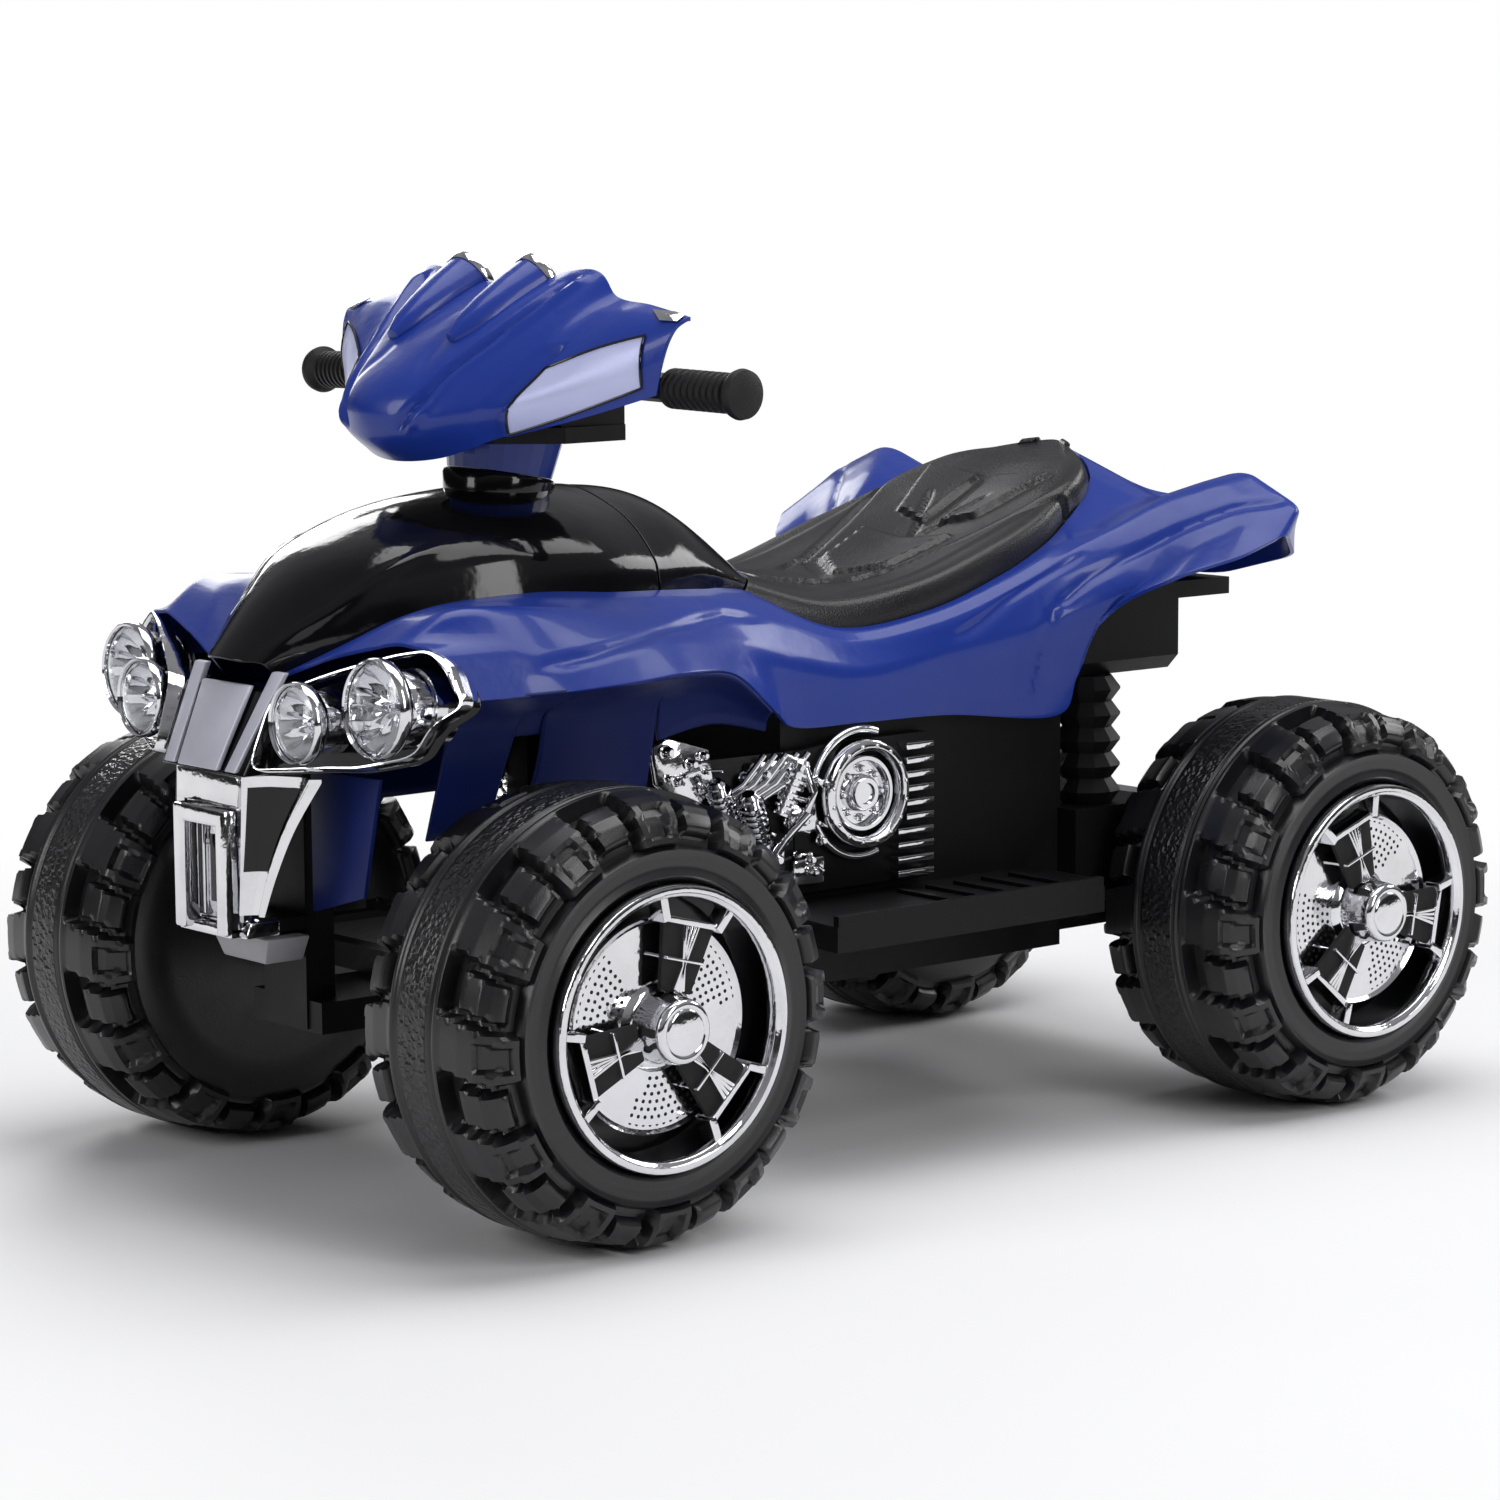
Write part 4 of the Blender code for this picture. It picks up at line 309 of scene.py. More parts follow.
def surface(rows, along, over, relief=None, soft=None, pointed=None):
    """Places on a sheet through rows of points, pushed out by a relief.

    A soft share makes the lines across it creases, rounded by that much. From the pointed row on,
    the rows are joined by nearly straight stretches too.
    """
    rows = np.array(rows, float)
    row_places = np.linspace(0, len(rows) - 1, along + 1)
    point_places = np.linspace(0, len(rows[0]) - 1, over + 1)
    crosswise = creases(len(rows[0]), over, soft) if soft else pulls(len(rows[0]), over)
    lengthwise = pulls(len(rows), along)
    if pointed:
        share = np.clip(row_places - pointed, 0, 1)[:, None]
        lengthwise = lengthwise * (1 - share) + creases(len(rows), along, 0.2) * share
    spots = np.einsum("ur,vc,rcd->uvd", lengthwise, crosswise, rows)
    if relief:
        outward = np.cross(np.gradient(spots, axis=0), np.gradient(spots, axis=1))
        outward /= np.maximum(np.linalg.norm(outward, axis=2, keepdims=True), 1e-9)
        row, column = np.meshgrid(row_places, point_places, indexing="ij")
        spots = spots + outward * relief(spots, row, column)[:, :, None]
    return spots


def laid(spots):
    """A grid of faces through rows of places."""
    along, over = len(spots) - 1, len(spots[0]) - 1
    shape = bmesh.new()
    bmesh.ops.create_grid(shape, x_segments=along, y_segments=over, size=1.0)
    for corner in shape.verts:
        corner.co = Vector(spots[round((corner.co.x + 1) / 2 * along), round((corner.co.y + 1) / 2 * over)])
    return shape


def off_line(spots, line):
    """How far each spot lies from a bent line, and how far along it, from 0 to 1."""
    nearest = np.full(spots.shape[:2], 9.0)
    share = np.zeros(spots.shape[:2])
    line = [np.array(point, float) for point in line]
    for number, (a, b) in enumerate(zip(line, line[1:])):
        t = np.clip(((spots - a) @ (b - a)) / ((b - a) @ (b - a)), 0, 1)
        gap = np.linalg.norm(spots - a - t[:, :, None] * (b - a), axis=2)
        share = np.where(gap < nearest, (number + t) / (len(line) - 1), share)
        nearest = np.minimum(nearest, gap)
    return nearest, share


def ridge(spots, line, width, height, ends):
    """A pressed ridge along a line, fading out over a share of its length at each end."""
    gap, share = off_line(spots, line)
    fading = np.clip(np.minimum(share, 1 - share) / ends, 0, 1)
    return height * np.exp(-(gap / width) ** 2) * fading


def both(spots, line, width, height, ends):
    """The same ridge on both sides of the quad."""
    other = [(-x, y, z) for x, y, z in line]
    return ridge(spots, line, width, height, ends) + ridge(spots, other, width, height, ends)


def joined(shapes):
    """Several meshes as one, the first."""
    whole_shape = shapes[0]
    for shape in shapes[1:]:
        mesh = bpy.data.meshes.new("part")
        shape.to_mesh(mesh)
        shape.free()
        whole_shape.from_mesh(mesh)
        bpy.data.meshes.remove(mesh)
    return whole_shape


def mirrored(shape):
    """A copy of a mesh for the other side of the quad."""
    twin = shape.copy()
    bmesh.ops.scale(twin, verts=twin.verts, vec=(-1, 1, 1))
    bmesh.ops.reverse_faces(twin, faces=twin.faces)
    return twin


def add_piece(name, shape, look, body, stands_for=(), smooth=35):
    """Make a bmesh drawn about the wheel centres an object that rides on a body."""
    bmesh.ops.translate(shape, verts=shape.verts, vec=CENTRE)
    mesh = bpy.data.meshes.new(name)
    shape.to_mesh(mesh)
    shape.free()
    mesh.shade_smooth()
    mesh.set_sharp_from_angle(angle=radians(smooth))
    mesh.materials.append(look)
    thing = bpy.data.objects.new(name, mesh)
    bpy.context.scene.collection.objects.link(thing)
    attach(thing, body)
    if stands_for:
        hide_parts(*stands_for)
    return thing


def walled(thing, wall, rim=0.0):
    """Give a moulded sheet its wall, on its inner side, and a rounded rim."""
    modifier = thing.modifiers.new("wall", "SOLIDIFY")
    modifier.thickness = wall
    modifier.offset = -1.0
    modifier.use_quality_normals = True
    if rim:
        modifier = thing.modifiers.new("rim", "BEVEL")
        modifier.width = rim
        modifier.segments = 2
        modifier.limit_method = "ANGLE"
        modifier.angle_limit = radians(50)
    return thing


def body_relief(spots, row, column):
    """The ridges pressed into the shell."""
    return sum(both(spots, *pressed) for pressed in PRESSED_LINES)


blue_look, shader, spot = finish("blue_gloss_plastic", BLUE, 0.3, Coat_Roughness=0.08,
                                 Specular_IOR_Level=0.25)
shade = cloud(spot, 5.0, 1.0)
feed(shader, "Base Color", blended(spot, shade, BLUE_DEEP, BLUE))
smear = cloud(spot, 38.0, 4.0)
feed(shader, "Roughness", 0.26 + smear * 0.12)
feed(shader, "Coat Weight", 0.34 - smear * 0.2)
feed(shader, "Normal", raised(spot, cloud(spot, 90.0, 2.0) + cloud(spot, 900.0, 2.0) * 0.12, 0.00035))

shell = laid(surface(BODY_STATIONS, 216, 84, body_relief, CREASE_SOFTNESS, POINTED_FROM))
shell = joined([shell, mirrored(shell)])
bmesh.ops.remove_doubles(shell, verts=shell.verts, dist=1e-5)
bmesh.ops.recalc_face_normals(shell, faces=shell.faces)
if max(shell.faces, key=lambda face: face.calc_center_median().z).normal.z < 0:
    bmesh.ops.reverse_faces(shell, faces=shell.faces)
walled(add_piece("blue_body", shell, blue_look, "chassis", ("body_shell",)), MOULDED_WALL, BLUE_RIM)


# Bonnet and tank cover: two gloss black mouldings that drop into the shell and meet on a lapped
# seam, with a raised crease down each side of the bonnet. A collar closes the steering column.
GLOSS_BLACK = (0.0020, 0.0020, 0.0026)
GLOSS_WORN = (0.0055, 0.0055, 0.0065)
BLACK_RIM = 0.001
BONNET_ROWS = (
    ((0.0355, -0.496, 0.231), (0.034, -0.507, 0.244), (0.021, -0.519, 0.247), (0.000, -0.524, 0.249)),
    ((0.0740, -0.447, 0.260), (0.060, -0.462, 0.277), (0.035, -0.474, 0.290), (0.000, -0.480, 0.295)),
    ((0.1020, -0.404, 0.281), (0.088, -0.415, 0.306), (0.055, -0.425, 0.321), (0.000, -0.430, 0.327)),
    ((0.1265, -0.330, 0.288), (0.113, -0.340, 0.322), (0.073, -0.346, 0.344), (0.000, -0.350, 0.354)),
    ((0.1310, -0.260, 0.284), (0.122, -0.265, 0.318), (0.078, -0.268, 0.347), (0.000, -0.270, 0.363)),
    ((0.1210, -0.206, 0.281), (0.113, -0.205, 0.309), (0.072, -0.205, 0.341), (0.000, -0.205, 0.359)),
)
TANK_ROWS = (
    ((0.1210, -0.204, 0.281), (0.113, -0.204, 0.309), (0.072, -0.204, 0.341), (0.000, -0.204, 0.359)),
    ((0.1050, -0.150, 0.277), (0.098, -0.148, 0.303), (0.062, -0.142, 0.332), (0.000, -0.138, 0.346)),
    ((0.0850, -0.096, 0.271), (0.080, -0.086, 0.281), (0.046, -0.065, 0.283), (0.000, -0.051, 0.284)),
)
BONNET_CREASE = ((0.030, -0.507, 0.252), (0.056, -0.464, 0.281), (0.078, -0.418, 0.312),
                 (0.088, -0.372, 0.329))
COLUMN_TOP = Vector((0, -0.265, 0.370))
COLUMN_LINE = Vector((0, sin(radians(10)), cos(radians(10))))
COLLAR = ((0.020, -0.020), (0.041, -0.020), (0.0435, -0.004), (0.0425, -0.001), (0.040, 0.0), (0.0125, 0.0),
          (0.0125, -0.004), (0.020, -0.020))


def whole(rows):
    """Rows from one edge to the middle, carried on to the other edge."""
    return [list(row) + [(-x, y, z) for x, y, z in reversed(row[:-1])] for row in rows]


def turned(profile, steps, start, direction):
    """A turned piece: its profile of (radius, distance along) spun round a line."""
    shape = bmesh.new()
    points = [shape.verts.new((radius, 0, along)) for radius, along in profile]
    for a, b in zip(points, points[1:]):
        shape.edges.new((a, b))
    bmesh.ops.spin(shape, geom=shape.verts[:] + shape.edges[:], cent=(0, 0, 0), axis=(0, 0, 1), angle=2 * pi,
                   steps=steps, use_merge=True)
    bmesh.ops.remove_doubles(shape, verts=shape.verts, dist=1e-6)
    bmesh.ops.recalc_face_normals(shape, faces=shape.faces)
    turn = Vector((0, 0, 1)).rotation_difference(Vector(direction).normalized()).to_matrix().to_4x4()
    bmesh.ops.transform(shape, verts=shape.verts, matrix=Matrix.Translation(Vector(start)) @ turn)
    return shape


def bonnet_relief(spots, row, column):
    """The crease down each side of the bonnet."""
    return both(spots, BONNET_CREASE, 0.0050, 0.0030, 0.2)


gloss_look, shader, spot = finish("gloss_black_plastic", GLOSS_BLACK, 0.12, Coat_Roughness=0.04,
                                  Specular_IOR_Level=0.22)
smear = cloud(spot, 26.0, 4.0)
feed(shader, "Base Color", blended(spot, smear, GLOSS_BLACK, GLOSS_WORN))
feed(shader, "Roughness", 0.06 + smear * 0.10)
feed(shader, "Coat Weight", 0.35 - smear * 0.2)
feed(shader, "Normal", raised(spot, cloud(spot, 60.0, 2.0), 0.00045))

shape = laid(surface(whole(BONNET_ROWS), 120, 72, bonnet_relief))
walled(add_piece("gloss_bonnet", shape, gloss_look, "chassis", ("bonnet",)), MOULDED_WALL, BLACK_RIM)
shape = laid(surface(whole(TANK_ROWS), 56, 64))
walled(add_piece("gloss_tank_cover", shape, gloss_look, "chassis", ("tank_cover",)), MOULDED_WALL, BLACK_RIM)
add_piece("bonnet_collar", turned(COLLAR, 48, COLUMN_TOP, COLUMN_LINE), gloss_look, "chassis")


# Seat: a hard blow-moulded shell, not padded, in dark grey plastic with a fine pebble grain.
# Four raised pads and two V grooves are pressed into its top.
SEAT_GREY = (0.0150, 0.0150, 0.0168)
SEAT_DARK = (0.0070, 0.0070, 0.0082)
SEAT_ROWS = (
    ((0.0850, -0.094, 0.271), (0.080, -0.084, 0.281), (0.046, -0.063, 0.283), (0.000, -0.049, 0.284)),
    ((0.1140, -0.025, 0.239), (0.108, -0.022, 0.262), (0.070, -0.015, 0.270), (0.000, -0.010, 0.271)),
    ((0.1280, 0.060, 0.247), (0.121, 0.060, 0.274), (0.076, 0.060, 0.271), (0.000, 0.060, 0.265)),
    ((0.1290, 0.138, 0.270), (0.122, 0.137, 0.298), (0.076, 0.137, 0.294), (0.000, 0.137, 0.284)),
    ((0.1210, 0.195, 0.291), (0.115, 0.192, 0.317), (0.071, 0.192, 0.315), (0.000, 0.192, 0.308)),
    ((0.1090, 0.231, 0.308), (0.103, 0.230, 0.333), (0.064, 0.231, 0.334), (0.000, 0.232, 0.329)),
    ((0.0930, 0.267, 0.326), (0.088, 0.263, 0.347), (0.055, 0.266, 0.350), (0.000, 0.269, 0.348)),
    ((0.0770, 0.289, 0.339), (0.072, 0.283, 0.355), (0.045, 0.288, 0.359), (0.000, 0.293, 0.359)),
    ((0.0590, 0.303, 0.346), (0.055, 0.296, 0.359), (0.035, 0.303, 0.363), (0.000, 0.308, 0.364)),
    ((0.0390, 0.315, 0.353), (0.037, 0.307, 0.363), (0.024, 0.312, 0.366), (0.000, 0.317, 0.367)),
    ((0.0190, 0.324, 0.357), (0.018, 0.316, 0.366), (0.012, 0.319, 0.368), (0.000, 0.322, 0.369)),
)
PAD_HEIGHT, LOW_PAD_HEIGHT, PAD_EDGE = 0.0050, 0.0040, 0.0032
# Each groove: its foot's distance from the middle and its y, how much it spreads, its depth and
# half width, where it begins, over which length it fades in, and where it ends
SEAT_GROOVES = (
    (0.060, 0.100, 0.36, 0.0042, 0.0026, 0.052, 0.010, 0.250),
    (0.0, 0.158, 0.60, 0.0030, 0.0024, 0.158, 0.006, 0.215),
)
TOP_HALF, TOP_STEP, TOP_BACK = 0.100, 0.0022, 0.285


def step_edge(value, edge, soft):
    """From 0 to 1 as a value passes an edge."""
    t = np.clip((value - edge) / soft + 0.5, 0, 1)
    return t * t * (3 - 2 * t)


def seat_relief(spots, row, column):
    """What is pressed into the seat's top."""
    x = np.abs(spots[:, :, 0])
    y = spots[:, :, 1]
    # How far inside each pad's outline a spot is: one each side at the rear, a shield and a low one
    side_pad = np.minimum(x - 0.011, 0.074 - (0.250 - y) * 0.42 - x)
    rear = np.minimum(side_pad, np.minimum(y - 0.180 - x * 0.20, 0.250 - y))
    shield = np.minimum(0.040 + (y - 0.090) * 0.22 - x, np.minimum(y - 0.074 - x * 0.55, 0.156 - y))
    low = np.minimum(0.052 + (y - 0.02) * 0.10 - x, np.minimum(y + 0.012 - x * 0.35, 0.058 - y + x * 0.45))
    push = PAD_HEIGHT * step_edge(rear, 0.0, PAD_EDGE) + PAD_HEIGHT * step_edge(shield, 0.0, PAD_EDGE)
    push += LOW_PAD_HEIGHT * step_edge(low, 0.0, PAD_EDGE)
    for out, front, spread, depth, half, begin, fade_in, end in SEAT_GROOVES:
        off_groove = np.abs(x - out - (y - front) * spread)
        groove = depth * np.exp(-(off_groove / half) ** 2)
        push -= groove * step_edge(y, begin, fade_in) * step_edge(end - y, 0.0, 0.010)
    # Step down to the side of the seat
    top = step_edge(TOP_HALF - x, 0.0, 0.008) * step_edge(y, 0.0, 0.03) * step_edge(TOP_BACK - y, 0.0, 0.03)
    return push + TOP_STEP * top


seat_look, shader, spot = finish("seat_plastic", SEAT_GREY, 0.35, Coat_Roughness=0.2, Specular_IOR_Level=0.30)
pebble = spot.node("TexVoronoi", {"feature": "F1"}, {"Vector": spot, "Scale": 700.0})
worn = cloud(spot, 14.0, 3.0)
feed(shader, "Base Color", blended(spot, worn, SEAT_DARK, SEAT_GREY))
feed(shader, "Roughness", 0.20 + worn * 0.12 + pebble * 0.08)
feed(shader, "Coat Weight", 0.20 - worn * 0.1)
feed(shader, "Normal", raised(spot, pebble, 0.00022))

shape = laid(surface(whole(SEAT_ROWS), 200, 150, seat_relief))
walled(add_piece("moulded_seat", shape, seat_look, "chassis", ("seat",)), MOULDED_WALL, BLACK_RIM)


# Cowl: the blue handlebar fairing turns with the bar. Ridges run from its gauge hoods down to
# the nose, and a sill slopes up to the front edge of each side panel, which lies a step below.
COWL_STEPS, COWL_POINT_STEPS = 90, 160
COWL_ROWS = (
    ((0.000, -0.360, 0.384), (0.045, -0.352, 0.388), (0.085, -0.335, 0.401), (0.145, -0.298, 0.419),
     (0.197, -0.268, 0.437)),
    ((0.000, -0.386, 0.403), (0.052, -0.374, 0.413), (0.092, -0.342, 0.423), (0.148, -0.303, 0.440),
     (0.203, -0.268, 0.457)),
    ((0.000, -0.388, 0.433), (0.060, -0.360, 0.442), (0.105, -0.322, 0.447), (0.152, -0.295, 0.460),
     (0.207, -0.265, 0.475)),
    ((0.000, -0.350, 0.467), (0.072, -0.325, 0.475), (0.118, -0.292, 0.477), (0.158, -0.278, 0.483),
     (0.210, -0.260, 0.487)),
    ((0.000, -0.305, 0.495), (0.085, -0.290, 0.503), (0.125, -0.270, 0.495), (0.165, -0.262, 0.497),
     (0.213, -0.253, 0.493)),
    ((0.000, -0.262, 0.515), (0.101, -0.253, 0.527), (0.130, -0.250, 0.507), (0.170, -0.250, 0.502),
     (0.213, -0.248, 0.494)),
)
COWL_RIDGE = ((0.095, -0.259, 0.523), (0.083, -0.294, 0.500), (0.070, -0.325, 0.476), (0.055, -0.355, 0.452),
              (0.046, -0.374, 0.430), (0.030, -0.382, 0.408))
COWL_INNER = ((0.024, -0.278, 0.512), (0.026, -0.318, 0.489), (0.030, -0.352, 0.462), (0.044, -0.372, 0.430))
VALLEY_ASIDE = 0.010
SILL_HEIGHT, SILL_FOOT, SILL_RUN, SILL_TOP, SILL_END = 0.0034, 1.74, 0.42, 2.20, 2.75


def cowl_relief(spots, row, column):
    """The ridges with a valley beside each, and the sills before the side panels."""
    push = both(spots, COWL_RIDGE, 0.0042, 0.0046, 0.05)
    push -= both(spots, [(x + VALLEY_ASIDE, y, z) for x, y, z in COWL_RIDGE], 0.0040, 0.0034, 0.05)
    push += both(spots, COWL_INNER, 0.0060, 0.0018, 0.2)
    wide = np.abs(column - 4)
    sill = np.clip((wide - SILL_FOOT) / SILL_RUN, 0, 1) * step_edge(SILL_TOP - wide, 0.0, 0.06)
    return push + SILL_HEIGHT * sill * step_edge(SILL_END - row, 0.0, 0.3)


cowl_rows = [[(-x, y, z) for x, y, z in reversed(row[1:])] + list(row) for row in COWL_ROWS]
cowl_spots = surface(cowl_rows, COWL_STEPS, COWL_POINT_STEPS, cowl_relief)
shape = laid(cowl_spots)
bmesh.ops.recalc_face_normals(shape, faces=shape.faces)
if min(shape.faces, key=lambda face: face.calc_center_median().y).normal.y > 0:
    bmesh.ops.reverse_faces(shape, faces=shape.faces)
walled(add_piece("blue_cowl", shape, blue_look, "steering", ("cowl",)), MOULDED_WALL, BLUE_RIM)


# Tray, axles, linkage and fittings: plain parts whose form is the frame's own. They are satin
# plastic with a spark-eroded grain, painted steel, bare steel, grey plastic and red caps.
SATIN_BLACK = (0.0030, 0.0030, 0.0035)
SATIN_WORN = (0.0060, 0.0060, 0.0070)
PAINT_BLACK = (0.0050, 0.0050, 0.0056)
BARE_STEEL = (0.4600, 0.4600, 0.4700)
PALE_GREY = (0.3000, 0.3000, 0.3200)
CAP_RED = (0.4500, 0.0180, 0.0140)


def dress(names, look):
    """Give fixed parts their finish."""
    for name in names:
        nodes[name].data.materials.clear()
        nodes[name].data.materials.append(look)


satin_look, shader, spot = finish("satin_black_plastic", SATIN_BLACK, 0.45, Specular_IOR_Level=0.18)
grain = cloud(spot, 1100.0, 2.0)
worn = cloud(spot, 18.0, 4.0)
feed(shader, "Base Color", blended(spot, worn, SATIN_BLACK, SATIN_WORN))
feed(shader, "Roughness", 0.34 + worn * 0.2)
feed(shader, "Normal", raised(spot, grain, 0.00018))
dress(("chassis_tray", "lower_cowl", "dash_panel", "column_bush", "gearbox_left", "gearbox_right",
       "rear_mudguard", "rear_shock_left", "rear_shock_right", "accelerator_pedal", "battery",
       "charging_socket"), satin_look)

painted_look, shader, spot = finish("black_painted_steel", PAINT_BLACK, 0.35, Specular_IOR_Level=0.30)
peel = cloud(spot, 220.0, 3.0)
feed(shader, "Roughness", 0.24 + peel * 0.2)
feed(shader, "Normal", raised(spot, peel, 0.00025))
dress(("front_axle_beam", "steering_knuckle_left", "steering_knuckle_right", "tie_rod", "steering_column",
       "handlebar"), painted_look)

steel_look, shader, spot = finish("zinc_plated_steel", BARE_STEEL, 0.35, Metallic=1.0)
streak = cloud(spot, 160.0, 3.0)
feed(shader, "Base Color", blended(spot, streak, (0.3300, 0.3300, 0.3300), (0.5500, 0.5500, 0.5700)))
feed(shader, "Roughness", 0.25 + streak * 0.25)
dress(("rear_axle", "drive_motor_left", "drive_motor_right"), steel_look)

grey_look, shader, spot = finish("grey_plastic", PALE_GREY, 0.4)
worn = cloud(spot, 30.0, 3.0)
feed(shader, "Base Color", blended(spot, worn, (0.2400, 0.2400, 0.2600), (0.3500, 0.3500, 0.3700)))
feed(shader, "Roughness", 0.32 + worn * 0.2)
dress(("control_box",), grey_look)

red_look, shader, spot = finish("red_switch_plastic", CAP_RED, 0.3)
feed(shader, "Roughness", 0.24 + cloud(spot, 200.0) * 0.16)
dress(("horn_button", "music_button", "power_switch", "direction_switch"), red_look)
dress(("steering_neck",), blue_look)


# Headlamps: two plated lamps on each side face straight ahead, each with a pleated bowl, a bulb
# and a clear dome. They stand before a gloss black recess with a plated frame round it.
CHROME = (0.7200, 0.7200, 0.7500)
CHROME_DULL, CHROME_BRIGHT = (0.6000, 0.6000, 0.6200), (0.8000, 0.8000, 0.8300)
HANDS = ((1, "left"), (-1, "right"))
LAMP_AIM = Vector((0.02, -1.0, 0.04)).normalized()
LAMP_FACING = Vector((0.40, -1.0, 0.30)).normalized()
LAMP_OUTLINE = ((0.0605, 0.172), (0.0660, 0.226), (0.112, 0.246), (0.156, 0.260), (0.183, 0.265),
                (0.205, 0.254), (0.221, 0.228), (0.199, 0.212), (0.190, 0.189), (0.148, 0.178),
                (0.120, 0.177))
# Each lamp: the middle of its mouth, its radius, its pleats and the length of its barrel
LAMPS = ((Vector((0.103, -0.5165, 0.2090)), 0.0300, 9, 0.018),
         (Vector((0.163, -0.4890, 0.2225)), 0.0365, 12, 0.046))
RECESS_DEPTH = 0.020
# Round the frame: how wide it is, and how much wider at its outer top corner
FRAME_WIDTH, CORNER_WIDTH = 0.0030, 0.0060
FRAME_SECTION = ((0.0, -0.0100), (0.0, 0.0), (0.30, 0.0022), (0.70, 0.0022), (1.0, 0.0), (1.0, -0.0060))
SMALL_BULB = ((0.0, -0.0120), (0.006, -0.0120), (0.0085, -0.009), (0.0060, -0.005), (0.0100, -0.001),
              (0.0070, 0.003), (0.0, 0.005))
SMALL_BULB_PLACE = (0.136, -0.497, 0.212)


def eased_loop(points, soft=0.3):
    """A closed line through points, rounded at each."""
    ring = np.array(points, float)
    middle = (ring[0] + ring[-1]) / 2
    line = np.vstack([middle, ring, middle])
    return (creases(len(line), 8 * (len(line) - 1), soft) @ line)[:-1]


def pleated_bowl(reach, pleats, mouth):
    """A lamp's bowl: a shallow cone whose wall waves in and out."""
    bowl = turned(((0.0045, -0.0130), (0.0070, -0.0118), (0.30 * reach, -0.0095), (0.52 * reach, -0.0070),
                   (0.74 * reach, -0.0020), (0.88 * reach, 0.0045)), 6 * pleats, (0, 0, 0), (0, 0, 1))
    for corner in bowl.verts:
        share = corner.co.xy.length / reach
        corner.co.z += 0.0030 * share * (1 - share) * 4 * cos(pleats * atan2(corner.co.y, corner.co.x))
    turn = Vector((0, 0, 1)).rotation_difference(LAMP_AIM).to_matrix().to_4x4()
    bmesh.ops.transform(bowl, verts=bowl.verts, matrix=Matrix.Translation(mouth) @ turn)
    return bowl


def lamp(mouth, reach, pleats, barrel):
    """A lamp's plated pieces, rim, bowl, bulb and barrel, and its clear dome."""
    rim = ((0.78 * reach, -0.0040), (0.93 * reach, 0.0005), (reach, 0.0040), (1.015 * reach, 0.0075),
           (reach, 0.0110), (0.96 * reach, 0.0128), (0.92 * reach, 0.0118), (0.90 * reach, 0.0085),
           (0.88 * reach, 0.0045))
    bulb = ((0.0, -0.0020), (0.0026, -0.0028), (0.0042, -0.0060), (0.0045, -0.0130))
    neck = 0.78 * reach
    body = ((0.0, -barrel), (neck, -barrel), (neck, -0.0250), (neck - 0.002, -0.0240),
            (neck - 0.002, -0.0210), (neck, -0.0200), (neck, -0.0040))
    dome = ((0.0, 0.0165), (0.40 * reach, 0.0158), (0.70 * reach, 0.0135), (0.88 * reach, 0.0095),
            (0.88 * reach, 0.0080), (0.70 * reach, 0.0120), (0.40 * reach, 0.0143), (0.0, 0.0150))
    plated = [turned(rim, 64, mouth, LAMP_AIM), pleated_bowl(reach, pleats, mouth),
              turned(bulb, 24, mouth, LAMP_AIM), turned(body, 48, mouth, LAMP_AIM)]
    return plated, turned(dome, 48, mouth, LAMP_AIM)


chrome_look, shader, spot = finish("bright_plating", CHROME, 0.08, Metallic=1.0)
smudge = cloud(spot, 34.0, 4.0)
feed(shader, "Base Color", blended(spot, smudge, CHROME_DULL, CHROME_BRIGHT))
feed(shader, "Roughness", 0.05 + smudge * 0.10)
feed(shader, "Normal", raised(spot, cloud(spot, 120.0, 2.0), 0.0003))
clear_look, shader, spot = finish("clear_polycarbonate", (0.9500, 0.9600, 0.9800), 0.04,
                                  Transmission_Weight=1.0, IOR=1.45)
feed(shader, "Roughness", 0.02 + cloud(spot, 60.0) * 0.05)

# The frame's plane leans back to the side and to the top
loop = eased_loop([(x, -0.512 + 0.40 * (x - 0.103) + 0.30 * (z - 0.206), z) for x, z in LAMP_OUTLINE])
centre = loop.mean(axis=0)
inward = (centre - loop) / np.linalg.norm(centre - loop, axis=1, keepdims=True)
at_corner = np.exp(-((loop[:, 0] - 0.212) / 0.030) ** 2 - ((loop[:, 2] - 0.250) / 0.022) ** 2)
band = FRAME_WIDTH + CORNER_WIDTH * at_corner
facing = np.array(LAMP_FACING)
frame_spots = np.stack([loop + inward * (band * share)[:, None] + facing * forward
                        for share, forward in FRAME_SECTION], axis=1)
plating = [laid(np.concatenate([frame_spots, frame_spots[:1]]))]
glass = []
for row in LAMPS:
    plated, dome = lamp(*row)
    plating += plated
    glass.append(dome)
plating.append(turned(SMALL_BULB, 20, SMALL_BULB_PLACE, LAMP_AIM))
recess = bmesh.new()
bmesh.ops.create_circle(recess, cap_ends=True, segments=len(loop), radius=1.0)
for corner, place in zip(recess.verts, loop + inward * 0.0012 - facing * 0.0030):
    corner.co = Vector(place)
bmesh.ops.inset_region(recess, faces=recess.faces[:], thickness=0.0010, use_even_offset=True)
floor = max(recess.faces, key=lambda face: face.calc_area())
bmesh.ops.translate(recess, verts=floor.verts, vec=LAMP_FACING * -RECESS_DEPTH)
bmesh.ops.recalc_face_normals(recess, faces=recess.faces)
plating, glass = joined(plating), joined(glass)
